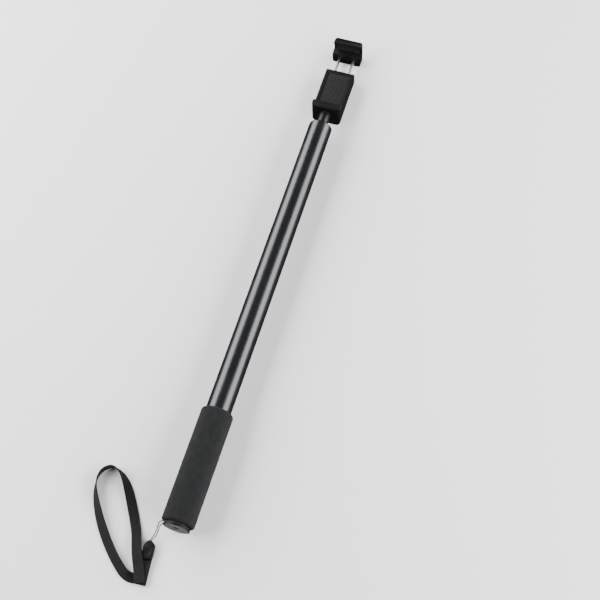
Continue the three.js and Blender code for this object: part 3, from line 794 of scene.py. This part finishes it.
def strap_connector():
    """The moulded release buckle between the cord and the webbing, with its side key and seam."""
    low = CONNECTOR_GAP_MM
    high = low + CONNECTOR_THICKNESS_MM
    half = CONNECTOR_WIDTH_MM / 2
    place = Matrix.Translation(grounded(NOSE_MM.x, NOSE_MM.y, 0)) @ Matrix.Rotation(
        math.atan2(tab_ahead.y, tab_ahead.x), 4, "Z")

    def lying(shape, z0, z1):
        verts = [place @ (Vector((a, b, z)) * MM) for z in (z0, z1) for a, b in shape]
        return ringed(verts, len(shape))

    def box(a0, a1, b0, b1, z0, z1):
        return lying([(a0, b0), (a1, b0), (a1, b1), (a0, b1)], z0, z1)

    end = CONNECTOR_LENGTH_MM
    outline = corners([
        (0, -2, 0.8), (4.4, -half, 2.6), (end, -half, 0.8), (end, half, 0.8), (3.6, half, 1.2), (0, 1.7, 0.8),
    ])
    mid = (low + high) / 2
    body = bevelled(lying(outline, low, high), 0.5, 4, 40)
    seam = 0.16
    inset = tapered(7.4, 14.0, 2.7, 1.0, 1.0)
    body = boolean(body, [
        box(-1, end + 1, -half - 1, -half + 0.35, mid - seam, mid + seam),
        box(-1, end + 1, half - 0.35, half + 1, mid - seam, mid + seam),
        box(end - 2.4, end - 2.0, -half - 1, half + 1, high - 0.35, high + 1),
        box(end - 2.4, end - 2.0, -half - 1, half + 1, low - 1, low + 0.35),
        lying(inset, high - 0.35, high + 1),
        box(6.6, 15.2, half - 0.7, half + 1, low + 1.1, high - 1.1),
        box(end - 0.9, end + 1, -STRAP_WIDTH_MM / 2, STRAP_WIDTH_MM / 2, mid - 1.35, mid + 1.35),
    ])
    shell = finished("connector_shell", bevelled(body, 0.1, 2, 40), "grip", PLASTIC, ["strap_connector"])
    ribs = [box(7.5 + 1.3 * i, 8.1 + 1.3 * i, half + 0.6, half + 1.15, low + 1.5, high - 1.0) for i in range(6)]
    key = boolean(box(6.75, 15.05, half - 0.65, half + 0.9, low + 1.25, high - 1.25), ribs, "UNION")
    side_key = finished("connector_key", bevelled(key, 0.09, 2, 40), "grip", GREY_PLASTIC)
    return shell, side_key


connector_shell, connector_key = strap_connector()
strap_fold = strap_tab()
stitches = strap_stitches()
cord, cord_path = strap_cord()
loop, loop_path, loop_length = strap_webbing()


# ---------- telescoping tubes ----------
TUBE_NODES = ["outer_tube", "tube_2", "tube_3", "tube_4"]
TUBE_BODIES = ["grip", "section_2", "section_3", "section_4"]
TUBE_WALL_MM = 0.7
FIT_GAP_MM = 0.3
MOUTH_ROUND_MM = 1.8
MOUTH_DEPTH_MM = 1.6
PLUG_RIM_MM = 1.5
VENT_RADIUS_MM = 1.5
TUBE_STEPS = 160

for i, node in enumerate(TUBE_NODES):
    start, end, radius = span(node)
    bore = radius - TUBE_WALL_MM
    if i + 1 < len(TUBE_NODES):
        mouth = span(TUBE_NODES[i + 1])[2] + FIT_GAP_MM
        lip = [
            *arc(end - MOUTH_ROUND_MM, radius - MOUTH_ROUND_MM, MOUTH_ROUND_MM, 90, 8, 10),
            (end - 0.12, mouth + 0.12), (end - 0.3, mouth),
            (end - MOUTH_DEPTH_MM, mouth), (end - MOUTH_DEPTH_MM, bore),
        ]
    else:
        lip = [(end - 0.25, radius), (end, radius - 0.25), (end, bore)]
    outline = [(start, bore), (start, radius - 0.15), (start + 0.15, radius), *lip]
    finish = NECK_BLACK if node == "tube_4" else TUBE_BLACK
    finished(f"{node}_shell", turned(outline, TUBE_STEPS), TUBE_BODIES[i], finish, [node])

for i in (1, 2, 3):
    node = f"guide_ring_{i}"
    start, end, radius = span(node)
    inner = span(TUBE_NODES[i])[2] + FIT_GAP_MM
    outline = [(start, inner), (start, radius), (start + 3, radius), (start + 3, radius - 0.2),
               (end - 3, radius - 0.2), (end - 3, radius), (end, radius), (end, inner)]
    mesh = turned(eased(outline, 0.15), sweep=0.985)
    finished(f"{node}_sleeve", mesh, TUBE_BODIES[i - 1], NYLON, [node])

for i in (1, 2, 3):
    node = f"brake_bush_{i + 1}"
    start, end, radius = span(node)
    inner = span(TUBE_NODES[i])[2] + FIT_GAP_MM
    groove = radius - 0.3
    outline = [(start, inner), (start, radius)]
    for k in range(4):
        at = start + (end - start) * (k + 1) / 5
        outline += [(at - 0.6, radius), (at - 0.4, groove), (at + 0.4, groove), (at + 0.6, radius)]
    outline += [(end, radius), (end, inner)]
    finished(f"{node}_sleeve", turned(eased(outline, 0.12), sweep=0.98), TUBE_BODIES[i], NYLON, [node])

    node = f"end_plug_{i + 1}"
    start, end, radius = span(node)
    stem = radius - TUBE_WALL_MM - FIT_GAP_MM
    rim = start + PLUG_RIM_MM
    outline = [(start, VENT_RADIUS_MM), (start, radius), (rim, radius), (rim, stem)]
    for k in range(3):
        at = rim + 1.6 + 2 * k
        outline += [(at, stem), (at + 0.5, stem - 0.35), (at + 1.0, stem)]
    outline += [(end, stem), (end, VENT_RADIUS_MM)]
    finished(f"{node}_body", turned(eased(outline, 0.2)), TUBE_BODIES[i], PLASTIC, [node])


# ---------- grip and end cap ----------
GRIP_LOW_ROUND_MM = 2.2
GRIP_HIGH_ROUND_MM = 3.5
GRIP_STEPS = 168
GRIP_ROW_MM = 0.7
FOAM_PORE_MM = 0.045
FOAM_SWELL_MM = 0.07

start, end, radius = span("foam_grip")
tube_radius = span("outer_tube")[2] + 0.05
low_round = arc(start + GRIP_LOW_ROUND_MM, radius - GRIP_LOW_ROUND_MM, GRIP_LOW_ROUND_MM, 180, 90, 10)
high_round = arc(end - GRIP_HIGH_ROUND_MM, radius - GRIP_HIGH_ROUND_MM, GRIP_HIGH_ROUND_MM, 90, 15, 12)
rows = round((end - start) / GRIP_ROW_MM)
first, last = low_round[-1][0], high_round[0][0]
between = [(first + (last - first) * k / rows, radius) for k in range(1, rows)]
outline = [(start, tube_radius), *low_round, *between, *high_round, (end - 0.1, tube_radius + 0.3),
           (end - 0.3, tube_radius)]
mesh = turned(outline, GRIP_STEPS)
for vertex in mesh.vertices:
    out = Vector((0, vertex.co.y, vertex.co.z - AXIS_Z))
    if out.length > (tube_radius + 0.5) * MM:
        pores = noise.noise(vertex.co * 950) * FOAM_PORE_MM
        swell = noise.noise(vertex.co * 75 + Vector((3, 1, 2))) * FOAM_SWELL_MM
        vertex.co += out.normalized() * (pores + swell - FOAM_PORE_MM) * MM
grip = finished("foam_sleeve", mesh, "grip", FOAM, ["foam_grip"])

CAP_RIM_INNER_MM = 11.8
CAP_FLANGE_MM = 1.6
CAP_NECK_MM = 10.2
CAP_PLUG_MM = 4.2
DISC_HOLE_MM = 3.5
DISC_SEAT_MM = 1.1
SOCKET_OUTER_MM = 5.0
SOCKET_SEAT_MM = 1.9
start, end, radius = span("end_cap")
plug = span("outer_tube")[2] - TUBE_WALL_MM - FIT_GAP_MM
groove = plug - 0.3
around_socket = SOCKET_OUTER_MM + FIT_GAP_MM
outline = [
    (start, CAP_RIM_INNER_MM), (start, radius), (CAP_FLANGE_MM, radius), (CAP_FLANGE_MM, CAP_NECK_MM),
    (CAP_PLUG_MM, CAP_NECK_MM), (CAP_PLUG_MM, plug), (8, plug), (8.5, groove), (9.5, groove), (10, plug),
    (14, plug), (14.5, groove), (15.5, groove), (16, plug), (end, plug), (end, around_socket),
    (SOCKET_SEAT_MM, around_socket), (SOCKET_SEAT_MM, DISC_HOLE_MM), (DISC_SEAT_MM, DISC_HOLE_MM),
    (DISC_SEAT_MM, CAP_RIM_INNER_MM),
]
finished("cap_body", turned(eased(outline, 0.35), 144), "grip", PLASTIC, ["end_cap"])

DISC_GROOVE_MM = 0.5
start, end, radius = span("cap_disc")
outline = [(end, DISC_HOLE_MM), (end, radius), (start + 0.25, radius), (start, radius - 0.3),
           (start, radius - 0.9)]
groove_count = int((radius - 1.1 - DISC_HOLE_MM - 0.5) / DISC_GROOVE_MM)
for k in range(groove_count):
    at = radius - 1.1 - k * DISC_GROOVE_MM
    outline += [(start, at), (start + 0.035, at - 0.12), (start + 0.035, at - 0.24), (start, at - 0.36)]
outline += [(start, DISC_HOLE_MM + 0.35), (start + 0.3, DISC_HOLE_MM)]
finished("cap_face_disc", turned(outline, 160), "grip", DISC, ["cap_disc"])

SOCKET_ROOT_MM = 3.15
SOCKET_CREST_MM = 2.62
start, end, radius = span("socket_insert")
outer = [(end, radius - 0.2), (end - 0.2, radius)]
for k in range(3):
    at = end - 2 - 2.6 * k
    outer += [(at, radius), (at - 0.3, radius - 0.4), (at - 0.9, radius - 0.4), (at - 1.2, radius)]
outer += [(start + 0.2, radius), (start, radius - 0.2)]
outline = threaded_rows(start, end, SOCKET_ROOT_MM, SOCKET_CREST_MM) + outer
finished("socket_thread", turned(outline, 72), "grip", BRASS, ["socket_insert"])


# ---------- head: plug, washer and screw ----------
STUD_CLEAR_MM = 3.4
STUD_ROOT_MM = 2.55
start, end, radius = span("head_plug")
flange = span("tube_4")[1] + FIT_GAP_MM
stem = span("tube_4")[2] - TUBE_WALL_MM - FIT_GAP_MM
outline = [(start, STUD_CLEAR_MM), (start, stem), (flange, stem), (flange, radius), (end, radius),
           (end, STUD_CLEAR_MM)]
finished("head_plug_body", turned(eased(outline, 0.25)), "section_4", PLASTIC, ["head_plug"])

start, end, radius = span("rubber_washer")
outline = ring(start, end, STUD_CLEAR_MM, radius)
finished("washer_ring", turned(eased(outline, 0.3, 5)), "section_4", RUBBER, ["rubber_washer"])

start, end, radius = span("screw_stud")
outline = [(start, 0), *threaded_rows(start, end, STUD_ROOT_MM, radius, chamfer=0.6), (end, 0)]
finished("screw_thread", turned(outline, 72), "section_4", STEEL, ["screw_stud"])


# ---------- phone clamp ----------
CLAMP_START, CLAMP_TOP, CLAMP_HALF = span("clamp_body")
BODY_BACK, CLAMP_FRONT = heights("clamp_body")
CLAMP_BACK, COVER_FRONT = heights("clamp_back_cover")
JAW_BLOCK_BOTTOM, JAW_TOP, _ = span("upper_jaw")
JAW_BACK = heights("upper_jaw")[0]
REAR_CORNER = 4.0
FRONT_CORNER = 1.6
LIP_INNER = 7.6
BACK_PLATE_FRONT = -1.2
LOWER_VALLEY = CLAMP_START + 5.4
LOWER_LIP_TOP = CLAMP_START + 8
NUT_SEAT = CLAMP_START + 1.6
NUT_CLEAR_RADIUS = 5.8
JAW_VALLEY = JAW_TOP - 5.3
JAW_LIP_BOTTOM = JAW_TOP - 7.9
ROD_RADIUS = 1.5
ROD_OFFSET = 8.0
ROD_HEIGHT = -9.0
CHAMBER_START = 482.0
CHAMBER_END = 529.0
CHAMBER_RADIUS = 3.6
SCREW_HEAD_RADIUS = 2.0
SCREW_SHANK_RADIUS = 0.9
SCREW_CLEAR = SCREW_SHANK_RADIUS + FIT_GAP_MM
SCREW_TIP = CLAMP_BACK + 9
PAD_RECESS_START, PAD_RECESS_END, PAD_RECESS_HALF, PAD_RECESS_DEPTH = 489.0, 529.0, 11.5, 0.9
SHELL_BEVEL = 0.45


def across(back, front):
    """The outline across the clamp or the jaw, rounder behind than in front."""
    return corners([
        (-CLAMP_HALF, back, REAR_CORNER), (CLAMP_HALF, back, REAR_CORNER),
        (CLAMP_HALF, front, FRONT_CORNER), (-CLAMP_HALF, front, FRONT_CORNER),
    ])


def moulding(solid, cuts):
    """A solid with its edges rounded, then the cuts made and their edges eased."""
    return bevelled(boolean(bevelled(solid, SHELL_BEVEL), cuts), 0.12, 2)


section = across(CLAMP_BACK, CLAMP_FRONT)
side = corners([
    (CLAMP_START, CLAMP_BACK, 0), (CLAMP_START, CLAMP_FRONT, 1.5), (LOWER_LIP_TOP, CLAMP_FRONT, 1.5),
    (LOWER_LIP_TOP, LIP_INNER, 0.8), (LOWER_VALLEY, LIP_INNER - 0.6, 0), (LOWER_VALLEY, BACK_PLATE_FRONT, 0),
    (CLAMP_TOP, BACK_PLATE_FRONT, 1), (CLAMP_TOP, CLAMP_BACK, 0),
])
front = tapered(CLAMP_START, CLAMP_TOP, CLAMP_HALF, 4.5, 2.5)


def clamp_slice(z0, z1):
    """The clamp's whole outline between two heights."""
    tools = [prism(section, "x", CLAMP_START, CLAMP_TOP), prism(front, "z", z0, z1)]
    return boolean(prism(side, "y", -CLAMP_HALF - 1, CLAMP_HALF + 1), tools, "INTERSECT")


def hexagon(radius):
    angles = [(i + 0.5) * math.pi / 3 for i in range(6)]
    return [(radius * math.cos(a), radius * math.sin(a)) for a in angles]


def plate(s0, s1, y0, y1, z0, z1):
    return prism([(s0, y0), (s1, y0), (s1, y1), (s0, y1)], "z", z0, z1)


def chamber(y):
    """A spring chamber's section, round in front and open at the back."""
    back = BODY_BACK - 1
    dome = arc(y, ROD_HEIGHT, CHAMBER_RADIUS, 0, 180, 16)
    return [(y - CHAMBER_RADIUS, back), (y + CHAMBER_RADIUS, back), *dome]


screw_places = []
for i in range(4):
    low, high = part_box(f"cover_screw_{i + 1}")
    screw_places.append((s_of((low.x + high.x) / 2), (low.y + high.y) / 2 / MM, z_of(low.z)))


def post(s, y, z0, z1, radius):
    """An upright cylinder between two heights."""
    return turned(ring(z0, z1, 0, radius), 32, upright(s, y, 0))


cuts = [
    prism(hexagon(NUT_CLEAR_RADIUS), "x", NUT_SEAT, LOWER_VALLEY + 1),
    rod(CLAMP_START - 1, NUT_SEAT + 1, STUD_CLEAR_MM),
    plate(PAD_RECESS_START, PAD_RECESS_END, -PAD_RECESS_HALF, PAD_RECESS_HALF,
          BACK_PLATE_FRONT - PAD_RECESS_DEPTH, BACK_PLATE_FRONT + 1),
]
for y in (-ROD_OFFSET, ROD_OFFSET):
    cuts.append(prism(chamber(y), "x", CHAMBER_START, CHAMBER_END))
    cuts.append(rod(CHAMBER_END - 1, CLAMP_TOP + 1, ROD_RADIUS + 0.25, y, ROD_HEIGHT))
cuts += [post(s, y, COVER_FRONT, SCREW_TIP + FIT_GAP_MM, SCREW_CLEAR) for s, y, _ in screw_places]
mesh = moulding(clamp_slice(BODY_BACK, CLAMP_FRONT + 1), cuts)
finished("clamp_shell", mesh, "clamp", PLASTIC, ["clamp_body"])

cuts = []
for s, y, _ in screw_places:
    cuts.append(post(s, y, CLAMP_BACK - 1, CLAMP_BACK + 1.5, SCREW_HEAD_RADIUS + FIT_GAP_MM))
    cuts.append(post(s, y, CLAMP_BACK, COVER_FRONT + 1, SCREW_CLEAR))
for y in (4.5, -9.5):
    cuts += [plate(s, s + 1.2, y, y + 5, CLAMP_BACK - 1, CLAMP_BACK + 0.4) for s in range(488, 524, 3)]
mesh = moulding(clamp_slice(CLAMP_BACK, COVER_FRONT), cuts)
finished("clamp_cover", mesh, "clamp", PLASTIC, ["clamp_back_cover"])

for i, (s, y, z) in enumerate(screw_places):
    head = 1.1
    outline = [(0, 0), (0, SCREW_HEAD_RADIUS - 0.7), (0.25, SCREW_HEAD_RADIUS - 0.2), (0.6, SCREW_HEAD_RADIUS),
               (head, SCREW_HEAD_RADIUS)]
    outline += threaded_rows(head + 0.1, SCREW_TIP - z, 0.62, SCREW_SHANK_RADIUS, 0.6, 0.6, 8)
    outline += [(SCREW_TIP - z, 0)]
    body = turned(outline, 32, upright(s, y, z))
    arms = [plate(s - a, s + a, y - b, y + b, z - 1, z + 0.75) for a, b in ((1.05, 0.26), (0.26, 1.05))]
    finished(f"cover_screw_{i + 1}_thread", boolean(body, arms), "clamp", BLACK_STEEL,
             [f"cover_screw_{i + 1}"])

low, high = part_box("clamp_nut")
start, end, _ = span("clamp_nut")
nut = bevelled(prism(hexagon((high.z - low.z) / 2 / MM), "x", start, end), 0.25, 3)
rows = threaded_rows(start - 1, end + 1, 3.15, 3.4, chamfer=0.1)
bore = turned([(start - 1, 0), *rows, (end + 1, 0)], 48)
finished("clamp_nut_thread", boolean(nut, [bore]), "clamp", BRASS, ["clamp_nut"])


RIB_PITCH = 2.5
RIB_DEPTH = 0.6
BACK_RIBS = 13


def ribbed(node, direction):
    """A pad with rounded ribs on the face that looks along the stick, running front to back."""
    start, end, half = span(node)
    back, face = (start, end) if direction > 0 else (end, start)
    base = face - direction * RIB_DEPTH
    count = round(2 * half / RIB_PITCH)
    step = 2 * half / count
    shape = []
    for k in range(count):
        left = -half + step * k
        shape.append((left + 0.12 * step, base))
        for j in range(7):
            a = math.pi * (1 - j / 6)
            rise = RIB_DEPTH * (0.15 + 0.85 * math.sin(a) ** 0.6)
            shape.append((left + step / 2 + 0.34 * step * math.cos(a), base + direction * rise))
        shape.append((left + 0.88 * step, base))
    outline = [(-half, back), (-half, base), *shape, (half, base), (half, back)]
    return prism([(b, a) for a, b in outline], "z", *heights(node))


def pad(name, mesh, body, node):
    finished(name, bevelled(mesh, 0.1, 2, 50), body, RUBBER, [node])


pad("lower_pad_ribs", ribbed("lower_jaw_pad", 1), "clamp", "lower_jaw_pad")
pad("upper_pad_ribs", ribbed("upper_jaw_pad", -1), "jaw", "upper_jaw_pad")

start, end, half = span("back_pad")
back, face = heights("back_pad")
step = (end - start - 1.2) / BACK_RIBS
outline = [(start, back), (start, face - 0.5)]
for k in range(BACK_RIBS):
    middle = start + 0.6 + step * (k + 0.5)
    for j in range(9):
        a = math.pi * (1 - j / 8)
        outline.append((middle + 0.36 * step * math.cos(a), face - 0.5 + 0.5 * math.sin(a) ** 0.5))
outline += [(end, face - 0.5), (end, back)]
pad("back_pad_ribs", prism(outline, "y", -half, half), "clamp", "back_pad")


# ---------- sliding jaw ----------
ROD_SOCKET_DEPTH = 9.5
side = corners([
    (JAW_BLOCK_BOTTOM, JAW_BACK, 1), (JAW_BLOCK_BOTTOM, BACK_PLATE_FRONT, 1), (JAW_VALLEY, BACK_PLATE_FRONT, 0),
    (JAW_VALLEY, LIP_INNER - 0.6, 0), (JAW_LIP_BOTTOM, LIP_INNER, 0.8), (JAW_LIP_BOTTOM, CLAMP_FRONT, 1.5),
    (JAW_TOP, CLAMP_FRONT, 1.8), (JAW_TOP, JAW_BACK, 1.5),
])
CLEAR = 0.02
section = across(JAW_BACK - CLEAR, CLAMP_FRONT + CLEAR)
front = tapered(JAW_BLOCK_BOTTOM - CLEAR, JAW_TOP + CLEAR, CLAMP_HALF + CLEAR, 0.8, 6)
jaw = boolean(prism(side, "y", -CLAMP_HALF - 1, CLAMP_HALF + 1),
              [prism(section, "x", JAW_BLOCK_BOTTOM - 1, JAW_TOP + 1)], "INTERSECT")
jaw = boolean(jaw, [prism(front, "z", JAW_BACK - 1, CLAMP_FRONT + 1)], "INTERSECT")
cuts = [rod(JAW_BLOCK_BOTTOM - 1, JAW_BLOCK_BOTTOM + ROD_SOCKET_DEPTH, ROD_RADIUS + FIT_GAP_MM, y, ROD_HEIGHT)
        for y in (-ROD_OFFSET, ROD_OFFSET)]
cuts += [plate(JAW_TOP - 0.5, JAW_TOP + 1, y - 0.5, y + 0.5, -12, 8) for y in range(-9, 10, 3)]
JAW_RIM = 1.7
JAW_RIM_DEPTH = 0.6
panel = tapered(JAW_LIP_BOTTOM + JAW_RIM, JAW_TOP - JAW_RIM, CLAMP_HALF - JAW_RIM, 0.8, 3.4)
cuts.append(prism(panel, "z", CLAMP_FRONT - JAW_RIM_DEPTH, CLAMP_FRONT + 1))
finished("jaw_shell", moulding(jaw, cuts), "jaw", PLASTIC, ["upper_jaw"])

SPRING_RADIUS = 2.45
SPRING_WIRE = 0.38
SPRING_TURNS = 8
SPRING_CLOSED = 0.9
SPRING_STEPS = 34
SPRING_SIDES = 10


def spring(y, start, end):
    """A coil of round wire with a closed turn at each end."""
    lead = 2 * SPRING_WIRE * 1.02 * SPRING_CLOSED
    count = round(SPRING_TURNS * SPRING_STEPS)
    verts = []
    for i in range(count + 1):
        turns = SPRING_TURNS * i / count
        if turns < SPRING_CLOSED:
            s = start + SPRING_WIRE + lead * turns / SPRING_CLOSED
        elif turns > SPRING_TURNS - SPRING_CLOSED:
            s = end - SPRING_WIRE - lead * (SPRING_TURNS - turns) / SPRING_CLOSED
        else:
            share = (turns - SPRING_CLOSED) / (SPRING_TURNS - 2 * SPRING_CLOSED)
            s = start + SPRING_WIRE + lead + (end - start - 2 * SPRING_WIRE - 2 * lead) * share
        a = 2 * math.pi * turns
        out = Vector((0, math.cos(a), math.sin(a)))
        for k in range(SPRING_SIDES):
            b = 2 * math.pi * k / SPRING_SIDES
            offset = out * (SPRING_RADIUS + SPRING_WIRE * math.cos(b))
            verts.append(local(s + SPRING_WIRE * math.sin(b), y + offset.y, ROD_HEIGHT + offset.z))
    return ringed(verts, SPRING_SIDES)


for word, y in (("left", ROD_OFFSET), ("right", -ROD_OFFSET)):
    start, end, _ = span(f"guide_rod_{word}")
    clip_low, clip_high, _ = span(f"rod_clip_{word}")
    place = Matrix.Translation(local(0, y, ROD_HEIGHT))
    outline = [(start, 0), (start, ROD_RADIUS), (clip_low, ROD_RADIUS), (clip_low, ROD_RADIUS - 0.25),
               (clip_high, ROD_RADIUS - 0.25), (clip_high, ROD_RADIUS), (end, ROD_RADIUS), (end, 0)]
    mesh = turned(eased(outline, 0.3, 4, False), 64, place)
    finished(f"guide_rod_{word}_pin", mesh, "jaw", SPRING_STEEL, [f"guide_rod_{word}"])
    outline = ring(clip_low, clip_high, ROD_RADIUS - 0.2, 3)
    clip_place = place @ Matrix.Rotation(0.3, 4, "X")
    mesh = turned(eased(outline, 0.12), 64, clip_place, 0.86)
    finished(f"rod_clip_{word}_ring", mesh, "jaw", BLACK_STEEL, [f"rod_clip_{word}"])
    node = f"return_spring_{word}"
    coil = finished(f"{node}_coil", spring(y, *span(node)[:2]), None, SPRING_STEEL, [node])
    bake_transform(coil)


# ---------- floor, light and background ----------
FLOOR_RADIUS = 3.2
FLOOR_COLOR = (0.92, 0.92, 0.922)
STRIP_LENGTH = 2.6
STRIP_WIDTH = 0.95
STRIP_DISTANCE = 1.2
STRIP_CENTRE_X = 0.35
STRIP_POWER = 76.0
LEFT_STRIP_ANGLE = 60.0
RIGHT_STRIP_ANGLE = 68.0

floor_mesh = bpy.data.meshes.new("floor")
bm = bmesh.new()
bmesh.ops.create_circle(bm, cap_ends=True, segments=128, radius=FLOOR_RADIUS)
bm.to_mesh(floor_mesh)
bm.free()
floor = bpy.data.objects.new("floor", floor_mesh)
floor.location.z = -0.0001
bpy.context.scene.collection.objects.link(floor)
paper = Graph("floor_paper", FLOOR_COLOR, 0.9)
paper.bump(paper.noise(900, 3), 0.00002)
floor_mesh.materials.append(paper.material)
floor.visible_glossy = False


def strip_light(name, angle, toward_y):
    """A long softbox parallel to the stick, leaning angle degrees from overhead to one side."""
    data = bpy.data.lights.new(name, "AREA")
    data.shape = "RECTANGLE"
    data.size = STRIP_LENGTH
    data.size_y = STRIP_WIDTH
    data.energy = STRIP_POWER
    lamp = bpy.data.objects.new(name, data)
    bpy.context.scene.collection.objects.link(lamp)
    a = math.radians(angle)
    out = Vector((0, toward_y * math.sin(a), math.cos(a)))
    lamp.location = Vector((STRIP_CENTRE_X, 0, AXIS_Z)) + out * STRIP_DISTANCE
    basis = Matrix((Vector((1, 0, 0)), out.cross(Vector((1, 0, 0))), out)).transposed()
    lamp.matrix_world = Matrix.Translation(lamp.location) @ basis.to_4x4()


strip_light("left_strip", LEFT_STRIP_ANGLE, 1)
strip_light("right_strip", RIGHT_STRIP_ANGLE, -1)

WORLD_LOW = (0.04, 0.04, 0.042)
WORLD_HIGH = (0.07, 0.07, 0.072)
WORLD_SEEN = (1.5, 1.5, 1.5)
world = bpy.data.worlds.new("studio")
bpy.context.scene.world = world
world.use_nodes = True
nodes, links = world.node_tree.nodes, world.node_tree.links
nodes.clear()
output = nodes.new("ShaderNodeOutputWorld")
direction = nodes.new("ShaderNodeTexCoord")
split = nodes.new("ShaderNodeSeparateXYZ")
ramp = nodes.new("ShaderNodeValToRGB")
for element, position, color in zip(ramp.color_ramp.elements, (0.45, 0.8), (WORLD_LOW, WORLD_HIGH)):
    element.position = position
    element.color = (*color, 1)
half = nodes.new("ShaderNodeMapRange")
half.inputs["From Min"].default_value = -1
lit = nodes.new("ShaderNodeBackground")
seen = nodes.new("ShaderNodeBackground")
seen.inputs["Color"].default_value = (*WORLD_SEEN, 1)
path = nodes.new("ShaderNodeLightPath")
mix = nodes.new("ShaderNodeMixShader")
links.new(direction.outputs["Generated"], split.inputs[0])
links.new(split.outputs[2], half.inputs["Value"])
links.new(half.outputs[0], ramp.inputs[0])
links.new(ramp.outputs[0], lit.inputs["Color"])
links.new(path.outputs["Is Camera Ray"], mix.inputs[0])
links.new(lit.outputs[0], mix.inputs[1])
links.new(seen.outputs[0], mix.inputs[2])
links.new(mix.outputs[0], output.inputs[0])
